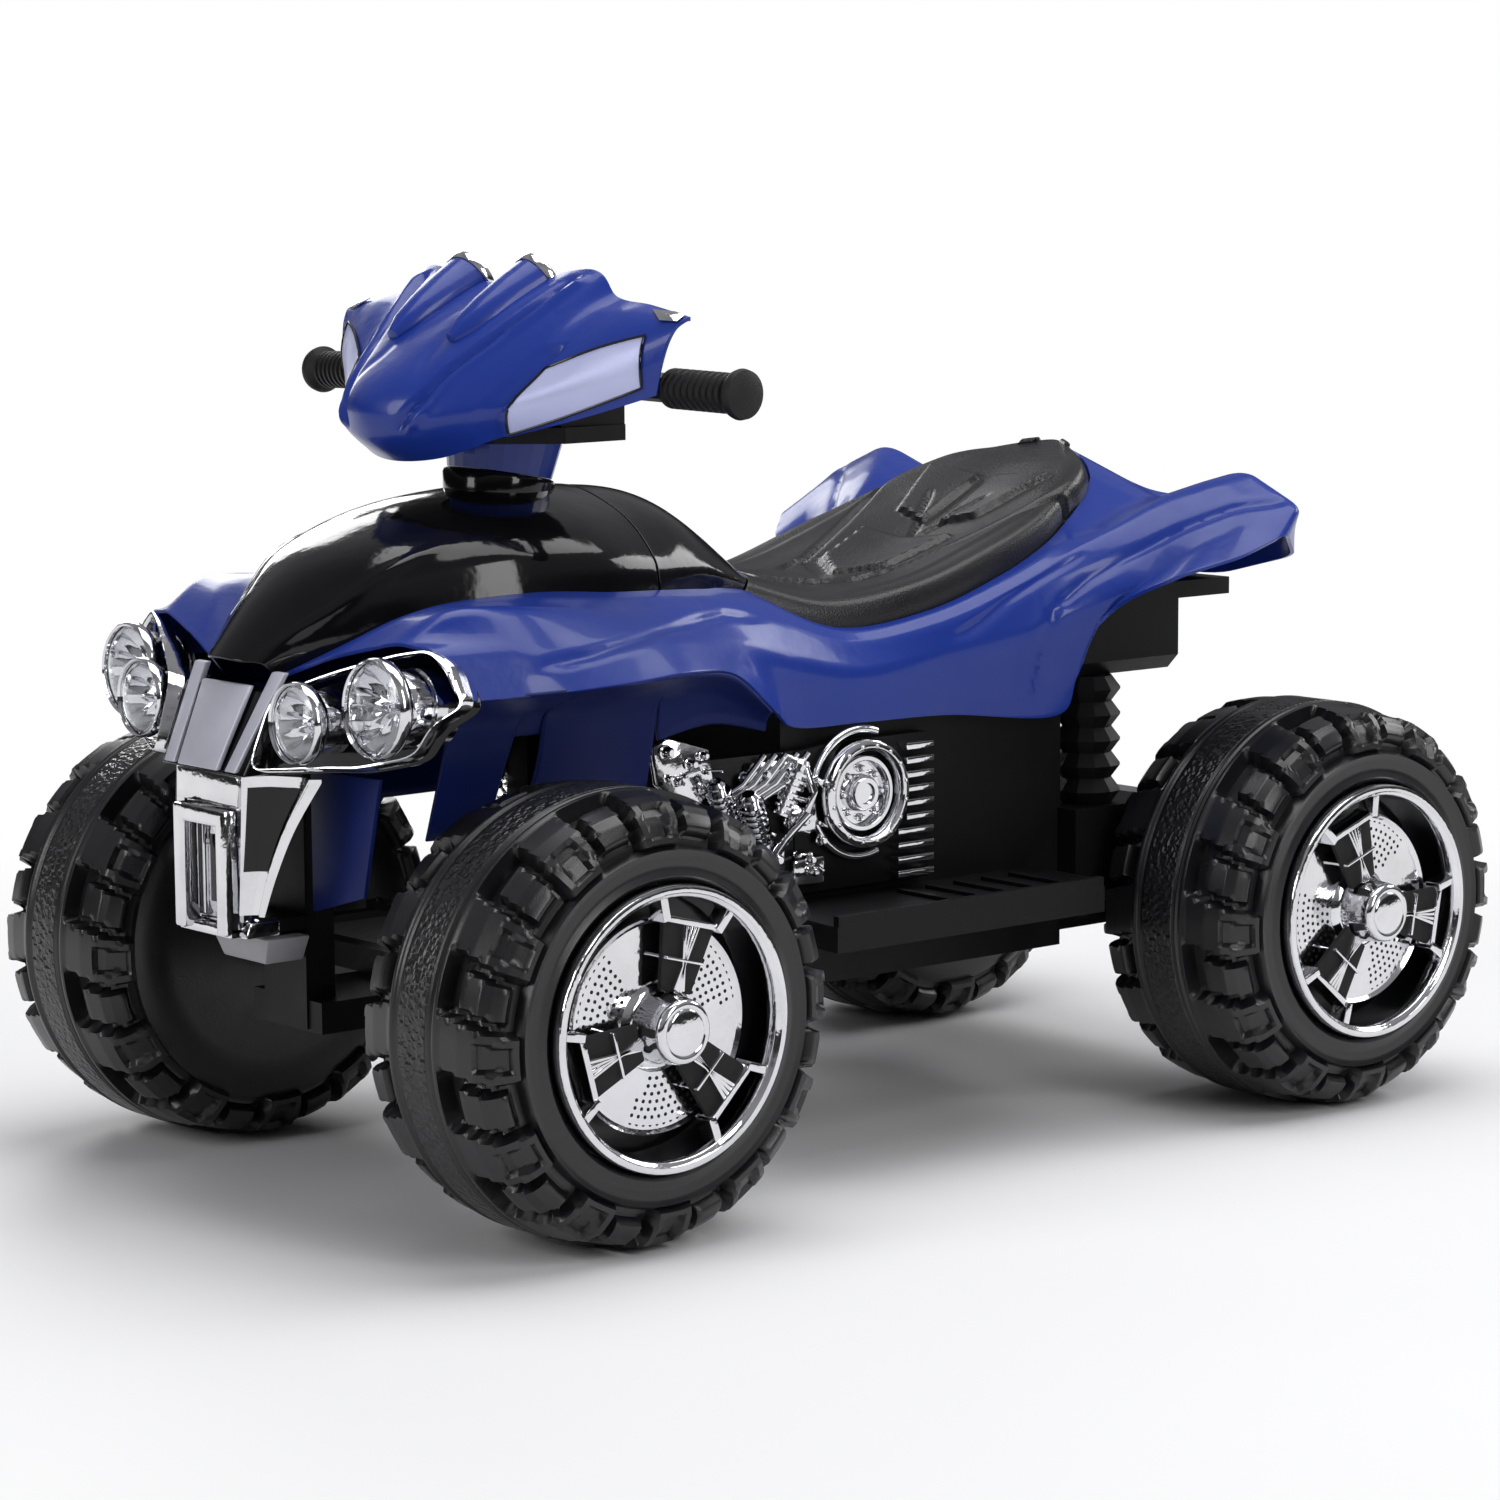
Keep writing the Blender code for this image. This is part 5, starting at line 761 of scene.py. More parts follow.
for side, hand in HANDS:
    pieces = [shape.copy() if side > 0 else mirrored(shape) for shape in (plating, recess, glass)]
    lenses = (f"headlamp_lens_inner_{hand}", f"headlamp_lens_outer_{hand}")
    add_piece(f"lamp_plating_{hand}", pieces[0], chrome_look, "chassis", (f"headlamp_frame_{hand}",), 40)
    thing = add_piece(f"lamp_recess_{hand}", pieces[1], gloss_look, "chassis", (f"headlamp_unit_{hand}",), 30)
    walled(thing, 0.0012)
    add_piece(f"lamp_domes_{hand}", pieces[2], clear_look, "chassis", lenses, 40)


# Grips: moulded rubber with nine square ribs and a flared end, pushed on to the bar. Each starts
# at its inner end and follows the bar's end outward.
RUBBER_BLACK = (0.0045, 0.0045, 0.0050)
GRIP_START = Vector((0.1933, -0.2498, 0.4416))
GRIP_WAY = Vector((0.99659, 0.07786, -0.02725))
GRIP_ROOT, GRIP_TIP, GRIP_RIBS, RIB_START, RIB_PITCH = 0.0130, 0.0150, 9, 0.0040, 0.0068
GRIP_FLARE = ((0.0142, 0.0660), (0.0178, 0.0695), (0.0188, 0.0725), (0.0178, 0.0770), (0.0110, 0.0803),
              (0.0, 0.0810))

rubber_look, shader, spot = finish("grip_rubber", RUBBER_BLACK, 0.6, Specular_IOR_Level=0.30)
grain = cloud(spot, 900.0, 2.0)
feed(shader, "Roughness", 0.46 + grain * 0.2)
feed(shader, "Normal", raised(spot, grain, 0.0003))

profile = [(0.0112, 0.0), (0.0146, 0.0006), (GRIP_TIP, 0.0025)]
for number in range(GRIP_RIBS):
    start = RIB_START + RIB_PITCH * number
    profile += [(GRIP_ROOT, start), (GRIP_ROOT + 0.0002, start + 0.0010), (GRIP_TIP, start + 0.0018),
                (GRIP_TIP, start + 0.0046), (GRIP_ROOT + 0.0002, start + 0.0056)]
grip = turned(profile + list(GRIP_FLARE), 48, GRIP_START, GRIP_WAY)
for hand, shape in (("left", grip), ("right", mirrored(grip))):
    add_piece(f"ribbed_grip_{hand}", shape, rubber_look, "steering", (f"handlebar_grip_{hand}",), 40)


# Nose: a gloss black block with a pale bare panel down its middle and a bright strip each side,
# clipped to the shell between the lamps.
FILM_GREY = (0.4900, 0.4900, 0.5700)
FILM_DULL, FILM_BRIGHT = (0.4400, 0.4400, 0.5200), (0.5500, 0.5500, 0.6300)


def eased(shape, edge):
    """Round every edge of a shape by a little."""
    bmesh.ops.bevel(shape, geom=shape.edges[:], offset=edge, affect="EDGES", segments=2, profile=0.5,
                    material=-1)
    return shape


def wedge(low, high, edge=0.0010):
    """A block with eased edges, between four low corners and four high ones."""
    shape = bmesh.new()
    bmesh.ops.create_cube(shape, size=2.0)
    order = ((-1, -1), (1, -1), (1, 1), (-1, 1))
    for corner in shape.verts:
        ring = high if corner.co.z > 0 else low
        corner.co = Vector(ring[order.index((round(corner.co.x), round(corner.co.y)))])
    bmesh.ops.recalc_face_normals(shape, faces=shape.faces)
    return eased(shape, edge)


def level(low_x, high_x, front, back, height):
    """Four corners of a level rectangle, its two sides given in either order."""
    left, right = sorted((low_x, high_x))
    return [(left, front, height), (right, front, height), (right, back, height), (left, back, height)]


film_look, shader, spot = finish("pale_grey_film", FILM_GREY, 0.3, Metallic=0.2)
feed(shader, "Base Color", blended(spot, cloud(spot, 30.0, 3.0), FILM_DULL, FILM_BRIGHT))
feed(shader, "Roughness", 0.26 + cloud(spot, 60.0) * 0.14)

nose = wedge(level(-0.0550, 0.0550, -0.5400, -0.4720, 0.1662),
             level(-0.0612, 0.0612, -0.5120, -0.4720, 0.2262), 0.0022)
add_piece("nose_block", nose, gloss_look, "chassis", ("nose_frame",))
panel = wedge(level(-0.0262, 0.0262, -0.5445, -0.5400, 0.1690),
              level(-0.0318, 0.0318, -0.5172, -0.5125, 0.2295), 0.0014)
add_piece("nose_face", panel, film_look, "chassis", ("nose_panel",))
strips = [wedge(level(side * 0.0335, side * 0.0475, -0.5425, -0.5380, 0.1690),
                level(side * 0.0440, side * 0.0590, -0.5060, -0.5000, 0.2400), 0.0013) for side in (1, -1)]
add_piece("nose_strips", joined(strips), film_look, "chassis")


# Bumper: plated guard under the nose, with an upright arch at the front, a plate behind it, a dished
# wing each side and a step at its foot; the skid plate below is grey. The plate's slots are gloss black
# bars of painted shade, and a gloss black sheet of painted shade lies in each wing's dish.
ARCH = ((-0.0345, 0.0470), (-0.0345, 0.1400), (0.0345, 0.1400), (0.0345, 0.0470), (0.0215, 0.0470),
        (0.0215, 0.1270), (-0.0215, 0.1270), (-0.0215, 0.0470))
BACK_PLATE = ((-0.0400, 0.1655), (0.0400, 0.1655), (0.0360, 0.0560), (-0.0360, 0.0560))
# The wing's rows from top to foot, each from the arch out
WING_ROWS = (
    ((0.0380, -0.530, 0.1652), (0.0440, -0.534, 0.1652), (0.0520, -0.514, 0.1652), (0.0780, -0.500, 0.1652),
     (0.0880, -0.506, 0.1652), (0.0940, -0.498, 0.1652)),
    ((0.0380, -0.531, 0.1300), (0.0435, -0.535, 0.1300), (0.0500, -0.517, 0.1300), (0.0640, -0.508, 0.1300),
     (0.0720, -0.517, 0.1300), (0.0790, -0.512, 0.1300)),
    ((0.0370, -0.531, 0.0950), (0.0410, -0.535, 0.0950), (0.0460, -0.521, 0.0950), (0.0540, -0.515, 0.0950),
     (0.0600, -0.524, 0.0950), (0.0660, -0.520, 0.0950)),
    ((0.0360, -0.531, 0.0650), (0.0385, -0.535, 0.0650), (0.0420, -0.526, 0.0650), (0.0470, -0.521, 0.0650),
     (0.0520, -0.527, 0.0650), (0.0570, -0.525, 0.0650)),
)
# The gloss black sheet of painted shade in a wing's dish: how proud it is, how far below the top, and its
# margin at each side
SHADE_SHEET_PROUD, SHADE_SHEET_BELOW, SHADE_SHEET_MARGIN = 0.0016, 0.0080, 0.28
WING_FOLD = 0.22
SLOT_FRONT, SLOT_BACK = -0.5312, -0.5296


def plate(outline, push, edge=0.0010):
    """A flat outline in space, thickened along a vector, with eased edges."""
    shape = bmesh.new()
    face = shape.faces.new([shape.verts.new(point) for point in outline])
    grown = bmesh.ops.extrude_face_region(shape, geom=[face])
    far = [item for item in grown["geom"] if isinstance(item, bmesh.types.BMVert)]
    bmesh.ops.translate(shape, verts=far, vec=push)
    bmesh.ops.recalc_face_normals(shape, faces=shape.faces)
    return eased(shape, edge)


bumper = [
    plate([(x, -0.5440, z) for x, z in ARCH], (0, 0.0160, 0), 0.0022),
    plate([(x, -0.5300, z) for x, z in BACK_PLATE], (0, 0.008, 0)),
    wedge(level(-0.0400, 0.0400, -0.5360, -0.5260, 0.1420), level(-0.0400, 0.0400, -0.5360, -0.5060, 0.1655),
          0.0016),
    wedge(level(-0.0345, 0.0345, -0.5400, -0.5240, 0.0450), level(-0.0345, 0.0345, -0.5400, -0.5240, 0.0530),
          0.0016),
    wedge(level(-0.0400, 0.0400, -0.5300, -0.5000, 0.0440), level(-0.0400, 0.0400, -0.5260, -0.5000, 0.0560),
          0.0018),
]
for side in (1, -1):
    bumper.append(wedge(level(side * 0.0090, side * 0.0125, -0.5330, -0.5290, 0.0580),
                        level(side * 0.0090, side * 0.0125, -0.5330, -0.5290, 0.1260), 0.0008))
wing = laid(surface(WING_ROWS, 36, 60, None, WING_FOLD))
bmesh.ops.solidify(wing, geom=wing.faces[:], thickness=0.0025)
bmesh.ops.recalc_face_normals(wing, faces=wing.faces)
bumper += [wing, mirrored(wing)]
add_piece("bumper_plating", joined(bumper), chrome_look, "chassis", ("front_bumper",))

# Painted shade: a gloss black sheet in each wing's dish, and gloss black bars for the slots in the plate.
shade_sheet_rows = []
for row in WING_ROWS[:3]:
    lip, rise, fall, edge = [Vector(point) - Vector((0, SHADE_SHEET_PROUD, 0)) for point in row[1:5]]
    shade_sheet_rows.append([lip.lerp(rise, SHADE_SHEET_MARGIN), rise, fall, edge.lerp(fall, SHADE_SHEET_MARGIN)])
shade_sheet_rows[0] = [point - Vector((0, 0, SHADE_SHEET_BELOW)) for point in shade_sheet_rows[0]]
shade_sheet = laid(surface(shade_sheet_rows, 24, 30, None, WING_FOLD))
slots = [wedge(level(-0.0042, 0.0042, SLOT_FRONT, SLOT_BACK, 0.0680),
               level(-0.0042, 0.0042, SLOT_FRONT, SLOT_BACK, 0.1180), 0.0004)]
for side in (1, -1):
    slots.append(wedge(level(side * 0.0150, side * 0.0205, SLOT_FRONT, SLOT_BACK, 0.0620),
                       level(side * 0.0150, side * 0.0205, SLOT_FRONT, SLOT_BACK, 0.1240), 0.0004))
add_piece("bumper_painted_shade", joined(slots + [shade_sheet, mirrored(shade_sheet)]), gloss_look, "chassis")
skid = wedge(level(-0.0280, 0.0280, -0.5060, -0.4720, 0.0210),
             level(-0.0380, 0.0380, -0.5100, -0.4720, 0.0410), 0.0020)
add_piece("skid_guard", skid, grey_look, "chassis", ("skid_plate",))


# Inner liners: the blue moulding turns in under each front fender, clear of the tyre at full lock,
# with a narrow open window above the wheel. An apron fills in behind the bumper. Liners and apron are
# painted a deep navy: the same blue plastic, with the shade that lies under the fenders painted in.
# The shell's blue, darkened as painted shade
SHADED_BLUE = (0.0060, 0.0140, 0.1000)
LINER_WALL = 0.002
# Three stretches from front to rear, then the bridge over the window; rows run in from the fender
LINER_ROWS = (
    (((0.200, -0.445, 0.230), (0.152, -0.425, 0.206), (0.118, -0.410, 0.168), (0.098, -0.410, 0.112)),
     ((0.214, -0.398, 0.231), (0.156, -0.388, 0.208), (0.124, -0.378, 0.168), (0.100, -0.378, 0.112)),
     ((0.221, -0.374, 0.232), (0.158, -0.366, 0.209), (0.127, -0.358, 0.168), (0.101, -0.358, 0.112))),
    (((0.223, -0.352, 0.233), (0.158, -0.345, 0.210), (0.130, -0.330, 0.168), (0.102, -0.328, 0.112)),
     ((0.222, -0.300, 0.234), (0.158, -0.292, 0.212), (0.132, -0.270, 0.168), (0.104, -0.262, 0.112)),
     ((0.216, -0.252, 0.234), (0.156, -0.236, 0.212), (0.132, -0.224, 0.168), (0.106, -0.214, 0.112))),
    (((0.216, -0.252, 0.234), (0.156, -0.236, 0.212), (0.140, -0.226, 0.182), (0.136, -0.222, 0.174)),
     ((0.194, -0.193, 0.225), (0.158, -0.182, 0.210), (0.143, -0.174, 0.194), (0.138, -0.170, 0.182)),
     ((0.161, -0.128, 0.190), (0.152, -0.124, 0.186), (0.143, -0.120, 0.180), (0.139, -0.118, 0.172))),
    (((0.221, -0.374, 0.232), (0.158, -0.366, 0.209), (0.140, -0.364, 0.190)),
     ((0.223, -0.352, 0.233), (0.158, -0.345, 0.210), (0.141, -0.336, 0.190))),
)
APRON = ((0.038, 0.1640), (0.126, 0.1660), (0.104, 0.0760), (0.038, 0.0580))
APRON_FRONT, APRON_THICK = -0.4700, 0.004

# Painted shade: the inner moulding and the apron get a deep navy, darker than the shell, for the shade they
# lie in.
shaded_blue_look, shader, spot = finish("blue_moulding_painted_shade", SHADED_BLUE, 0.4, Specular_IOR_Level=0.2)
feed(shader, "Roughness", 0.34 + cloud(spot, 40.0, 3.0) * 0.16)
liner = joined([laid(surface(rows, 20, 24, None, 0.3)) for rows in LINER_ROWS])
bmesh.ops.remove_doubles(liner, verts=liner.verts, dist=0.0005)
for side, hand in HANDS:
    shape = liner.copy() if side > 0 else mirrored(liner)
    walled(add_piece(f"shaded_liner_{hand}", shape, shaded_blue_look, "chassis"), LINER_WALL)
apron = plate([(x, APRON_FRONT, z) for x, z in APRON], (0, APRON_THICK, 0))
add_piece("nose_apron", joined([apron, mirrored(apron)]), shaded_blue_look, "chassis")


# Dummy engine: a plated crankcase with rods, barrels and bolts, a big ringed clutch cover and
# cooling fins, on a black moulding against the battery box.
CLUTCH = Vector((0.1500, -0.0340, 0.1170))
CLUTCH_RING = ((0.0330, 0.0), (0.0425, 0.0), (0.0430, 0.0110), (0.0420, 0.0155), (0.0395, 0.0172),
               (0.0365, 0.0172), (0.0345, 0.0155), (0.0335, 0.0110), (0.0330, 0.0))
CLUTCH_CAP = ((0.0, 0.0), (0.0305, 0.0), (0.0305, 0.0085), (0.0290, 0.0105), (0.0262, 0.0105),
              (0.0250, 0.0090), (0.0246, 0.0040), (0.0150, 0.0040), (0.0140, 0.0110), (0.0120, 0.0130),
              (0.0085, 0.0130), (0.0078, 0.0105), (0.0, 0.0105))
CAP_SCREWS, RING_SCREWS = 8, 16
PIPE_SWEEP = 0.0500
FIN_COUNT, FIN_LOW, FIN_PITCH, FIN_THICK = 10, 0.0460, 0.0112, 0.0056
MOULDING = ((-0.0960, 0.042), (0.0440, 0.042), (0.0440, 0.158), (-0.0560, 0.158), (-0.0960, 0.154))
# The crankcase's side slopes out from its front end to where it meets the moulding
CASE_FRONT, CASE_MEET, CASE_X, CASE_SLOPE = -0.1740, -0.0900, 0.1200, 0.357
# Each plate on the crankcase: how tall it is, its eased edge and its outline of (y, z)
CASE_PLATES = (
    (0.006, 0.0016,
     ((-0.2080, 0.164), (-0.1960, 0.171), (-0.1640, 0.160), (-0.1600, 0.128), (-0.1780, 0.112),
      (-0.2040, 0.134))),
    (0.006, 0.0016,
     ((-0.1560, 0.112), (-0.1430, 0.122), (-0.1060, 0.078), (-0.1060, 0.060), (-0.1260, 0.060))),
    (0.009, 0.0016,
     ((-0.1340, 0.148), (-0.0960, 0.150), (-0.0940, 0.128), (-0.1180, 0.122), (-0.1380, 0.132))),
    (0.012, 0.0024, ((-0.1060, 0.110), (-0.0840, 0.112), (-0.0840, 0.092), (-0.1060, 0.090))),
    (0.008, 0.0024, ((-0.1000, 0.070), (-0.0720, 0.072), (-0.0720, 0.050), (-0.1000, 0.050))),
    (0.007, 0.0016,
     ((-0.1650, 0.108), (-0.1560, 0.100), (-0.1400, 0.076), (-0.1500, 0.076), (-0.1660, 0.092))),
)
# Each finned barrel: its foot and how far it leans back
BARRELS = ((-0.1240, 0.086, -0.45), (-0.1480, 0.098, -0.50), (-0.1100, 0.106, 0.30))
BARREL_END = [(0.0074, 0.0440), (0.0050, 0.0470), (0.0, 0.0470)]
# Each bolt: its place (y, z) and its radius in millimetres
BOLTS = ((-0.1980, 0.1600, 6.0), (-0.1800, 0.1500, 5.0), (-0.1900, 0.1370, 4.5), (-0.1700, 0.1560, 4.0),
         (-0.1700, 0.1300, 4.5), (-0.1440, 0.1110, 5.5), (-0.1300, 0.0920, 4.0), (-0.1150, 0.0720, 6.0),
         (-0.1240, 0.1390, 5.0), (-0.1060, 0.1400, 5.5), (-0.0950, 0.1010, 5.0), (-0.0860, 0.0610, 5.0),
         (-0.0800, 0.1300, 4.5), (-0.0760, 0.0840, 4.5), (-0.1560, 0.0930, 3.5))
EXHAUST = ((-0.1080, 0.152, 0.004), (-0.0960, 0.146, 0.012), (-0.0900, 0.124, 0.014), (-0.0940, 0.108, 0.014),
           (-0.1100, 0.088, 0.012), (-0.1200, 0.064, 0.004))


def tube(points, radius, sides=10):
    """A round bar along a bent line, closed at its ends."""
    line = np.array(points, float)
    way = np.gradient(line, axis=0)
    way /= np.linalg.norm(way, axis=1, keepdims=True)
    first = np.cross(way, (0.31, 0.22, 0.93))
    first /= np.linalg.norm(first, axis=1, keepdims=True)
    second = np.cross(way, first)
    angle = np.linspace(0, 2 * pi, sides + 1)
    ring = np.cos(angle)[None, :, None] * first[:, None] + np.sin(angle)[None, :, None] * second[:, None]
    spots = line[:, None] + radius * ring
    ends = [np.repeat(line[end][None, None], sides + 1, axis=1) for end in (0, -1)]
    shape = laid(np.concatenate([ends[0], spots, ends[1]]))
    bmesh.ops.remove_doubles(shape, verts=shape.verts, dist=1e-6)
    bmesh.ops.recalc_face_normals(shape, faces=shape.faces)
    return shape


def knob(place, radius, tall, sides=12, way=(1, 0, 0)):
    """A domed bolt head on a washer."""
    head = ((0.0, 0.0), (radius, 0.0), (radius, 0.25 * tall), (0.78 * radius, 0.3 * tall),
            (0.74 * radius, 0.8 * tall), (0.45 * radius, tall), (0.0, tall))
    return turned(head, sides, place, way)


def round_clutch(angle, radius, proud):
    """A place on the clutch cover, at an angle and a radius."""
    return CLUTCH + Vector((proud, radius * cos(angle), radius * sin(angle)))


def on_case(y, z, proud=0.0):
    """A place on the sloping side of the crankcase."""
    return Vector((CASE_X + CASE_SLOPE * (min(y, CASE_MEET) - CASE_FRONT) + proud, y, z))


def case_pipe(places, radius, sides=10):
    """A pipe along places (y, z, proud) on the crankcase."""
    return tube([on_case(*place) for place in places], radius, sides)


engine_back = joined([
    plate([(0.1370, y, z) for y, z in MOULDING], (0.0120, 0, 0), 0.0015),
    wedge([(0.090, CASE_FRONT, 0.087), (0.120, CASE_FRONT, 0.087), (0.1500, CASE_MEET, 0.052),
           (0.137, CASE_MEET, 0.052)],
          [(0.090, CASE_FRONT, 0.150), (0.116, CASE_FRONT, 0.150), (0.1480, CASE_MEET, 0.155),
           (0.137, CASE_MEET, 0.155)],
          0.0015),
])
plated = [turned(CLUTCH_RING, 72, CLUTCH, (1, 0, 0)), turned(CLUTCH_CAP, 60, CLUTCH, (1, 0, 0))]
for number in range(CAP_SCREWS):
    plated.append(knob(round_clutch(2 * pi * number / CAP_SCREWS, 0.0195, 0.0040), 0.0034, 0.0055))
for number in range(RING_SCREWS):
    angle = 2 * pi * (number + 0.5) / RING_SCREWS
    plated.append(knob(round_clutch(angle, 0.0381, 0.0168), 0.0019, 0.0018, 8))
sweep = np.linspace(radians(70), radians(290), 40)
plated.append(tube([round_clutch(angle, PIPE_SWEEP, 0.0045) for angle in sweep], 0.0032))
for number in range(FIN_COUNT):
    low = FIN_LOW + FIN_PITCH * number
    front = 0.0020 if abs(low - CLUTCH.z) > 0.0300 else 0.0110
    plated.append(wedge(level(0.1490, 0.1600, front, 0.0400, low),
                        level(0.1490, 0.1600, front, 0.0400, low + FIN_THICK), 0.0010))
for tall, edge, outline in CASE_PLATES:
    plated.append(plate([on_case(y, z, -0.001) for y, z in outline], (tall, 0, 0), edge))
for number in range(5):
    y = -0.1580 + 0.0085 * number
    plated.append(case_pipe(((y, 0.120, 0.007), (y + 0.016, 0.132, 0.010), (y + 0.034, 0.154, 0.008)),
                            0.0026))
for number in range(4):
    z = 0.118 - 0.0080 * number
    plated.append(case_pipe(((-0.0820, z, 0.004), (-0.0900, z - 0.002, 0.008), (-0.1020, z + 0.002, 0.006)),
                            0.0022))
barrel = [(0.0, 0.0)]
for number in range(7):
    along = 0.0010 + 0.0056 * number
    barrel += [(0.0062, along), (0.0100, along + 0.0006), (0.0100, along + 0.0026), (0.0062, along + 0.0032)]
for y, z, lean in BARRELS:
    plated.append(turned(barrel + BARREL_END, 24, on_case(y, z, 0.004), (0.22, lean, 0.85)))
# Small fittings scattered along the case in a wave, each a stud with a short pipe
for number in range(22):
    y = -0.2020 + 0.0058 * number
    z = 0.1080 + 0.0330 * sin(2.4 * number) - 0.20 * (y + 0.150)
    plated.append(knob(on_case(y, z, 0.003), 0.0028 + 0.0009 * (number % 3), 0.0075, 8))
    plated.append(case_pipe(((y, z, 0.004), (y + 0.012, z - 0.010 + 0.005 * (number % 4), 0.007)), 0.0016, 8))
for y, z, size in BOLTS:
    plated.append(knob(on_case(y, z, 0.004), size / 1000, 0.0080 if size < 5 else 0.0100, 14))
plated.append(case_pipe(EXHAUST, 0.0036))
plated = joined(plated)
for side, hand in HANDS:
    back = engine_back.copy() if side > 0 else mirrored(engine_back)
    bright = plated.copy() if side > 0 else mirrored(plated)
    add_piece(f"engine_moulding_{hand}", back, satin_look, "chassis")
    add_piece(f"engine_plating_{hand}", bright, chrome_look, "chassis", (f"engine_cover_{hand}",), 40)


# Cowl trim: lilac mirror film panels in a black surround, bright wing tips, and two gauge hoods
# with plated rims that look back at the rider. They clip to the cowl and turn with it.
LILAC, LILAC_DULL, LILAC_BRIGHT = (0.4400, 0.4700, 0.7100), (0.4000, 0.4300, 0.6600), (0.5000, 0.5200, 0.7600)
# The panel's corners and the tip's outline, as rows and columns of the cowl's own form
PANEL_CORNERS = ((0.16, 2.24), (2.20, 2.26), (2.62, 3.56), (0.52, 3.72))
TIP_OUTLINE = ((4.3, 3.25), (4.7, 3.6), (4.4, 3.9), (3.4, 3.95), (3.45, 3.6))
FILM_PROUD, SURROUND_PROUD, SURROUND_RADIUS, PANEL_STEPS = 0.0012, 0.0014, 0.0010, 25
HOOD_REAR = Vector((0.0430, -0.2600, 0.5140))
HOOD_WAY = Vector((0.06, 0.86, 0.44)).normalized()
HOOD = ((0.0, -0.0860), (0.0060, -0.0850), (0.0120, -0.0720), (0.0170, -0.0500), (0.0205, -0.0250),
        (0.0225, 0.0), (0.0212, 0.0), (0.0200, -0.0060), (0.0, -0.0060))
HOOD_RIM = ((0.0205, -0.0050), (0.0215, 0.0), (0.0235, -0.0010), (0.0248, 0.0020), (0.0245, 0.0055),
            (0.0225, 0.0070), (0.0208, 0.0060), (0.0200, 0.0010), (0.0205, -0.0050))


def on_cowl(row, column, proud):
    """A place just off the near half of the cowl, at a row and a column of its form."""
    u, v = row / (len(COWL_ROWS) - 1) * COWL_STEPS, (column + 4) / 8 * COWL_POINT_STEPS
    i, j = min(int(u), COWL_STEPS - 1), min(int(v), COWL_POINT_STEPS - 1)
    near = cowl_spots[i:i + 2, j:j + 2]
    a, b = near[1, 0] - near[0, 0], near[0, 1] - near[0, 0]
    outward = np.cross(b, a) / np.linalg.norm(np.cross(b, a))
    return near[0, 0] + (u - i) * a + (v - j) * b + outward * (proud if outward[1] < 0 else -proud)


def panel_place(across, up, proud):
    """A place on the side panel, from its low front corner to its high rear one."""
    (r0, c0), (r1, c1), (r2, c2), (r3, c3) = PANEL_CORNERS
    low = (r0 + (r3 - r0) * across, c0 + (c3 - c0) * across)
    high = (r1 + (r2 - r1) * across, c1 + (c2 - c1) * across)
    return on_cowl(low[0] + (high[0] - low[0]) * up, low[1] + (high[1] - low[1]) * up, proud)


lilac_look, shader, spot = finish("lilac_mirror_film", LILAC, 0.3, Metallic=0.2)
smear = cloud(spot, 22.0, 3.0)
feed(shader, "Base Color", blended(spot, smear, LILAC_DULL, LILAC_BRIGHT))
feed(shader, "Roughness", 0.28 + smear * 0.16)
feed(shader, "Normal", raised(spot, cloud(spot, 500.0, 2.0), 0.00012))

steps = np.linspace(0, 1, PANEL_STEPS)
film = laid(np.array([[panel_place(a, b, FILM_PROUD) for a in steps] for b in steps]))
round_panel = ([(t, 0) for t in steps] + [(1, t) for t in steps[1:]] + [(1 - t, 1) for t in steps[1:]]
               + [(0, 1 - t) for t in steps[1:]])
surround = tube([panel_place(a, b, SURROUND_PROUD) for a, b in round_panel], SURROUND_RADIUS)
tip = [on_cowl(row, column, FILM_PROUD) for row, column in TIP_OUTLINE]
bright_tip = plate(tip, (0.0008, -0.0012, 0.0004), 0.0004)
for side, hand in HANDS:
    pieces = [shape.copy() if side > 0 else mirrored(shape) for shape in (film, surround, bright_tip)]
    if side < 0:
        bmesh.ops.reverse_faces(pieces[0], faces=pieces[0].faces)
    add_piece(f"cowl_film_{hand}", pieces[0], lilac_look, "steering", (f"cowl_panel_{hand}",))
    add_piece(f"cowl_surround_{hand}", pieces[1], gloss_look, "steering")
    add_piece(f"cowl_tip_{hand}", pieces[2], chrome_look, "steering")

hood = turned(HOOD, 40, HOOD_REAR, HOOD_WAY)
rim = turned(HOOD_RIM, 48, HOOD_REAR, HOOD_WAY)
add_piece("gauge_hoods", joined([hood, mirrored(hood)]), blue_look, "steering", ("gauge_cluster",))
add_piece("gauge_rims", joined([rim, mirrored(rim)]), chrome_look, "steering")


# Tyres: hollow blow-moulded plastic, satin black. Each shoulder has twelve wide blocks with a
# dimple and twelve plain bars between them; a knurled band with twin grooves runs round the middle.
TYRE_RADIUS = 0.1655
PITCH = radians(30)
TRACK_HALF = 0.247
AXLE_PLACES = (("front", -0.366), ("rear", 0.366))
TYRE_BLACK = (0.0042, 0.0042, 0.0052)
TYRE_DUST = (0.0095, 0.0095, 0.0110)
# Half a tyre in section, from its dish to the middle of its tread: (radius, distance out)
TYRE_SECTION = (
    (0.010, 0.0400), (0.0990, 0.0400), (0.1045, 0.0760), (0.1060, 0.0800), (0.1090, 0.0822), (0.1120, 0.0810),
    (0.1150, 0.0800), (0.1240, 0.0806), (0.1290, 0.0826), (0.1380, 0.0815), (0.1475, 0.0765),
    (0.1540, 0.0720), (0.1595, 0.0650), (0.1625, 0.0500), (0.1640, 0.0310), (0.1655, 0.0262), (0.1655, 0.0),
)
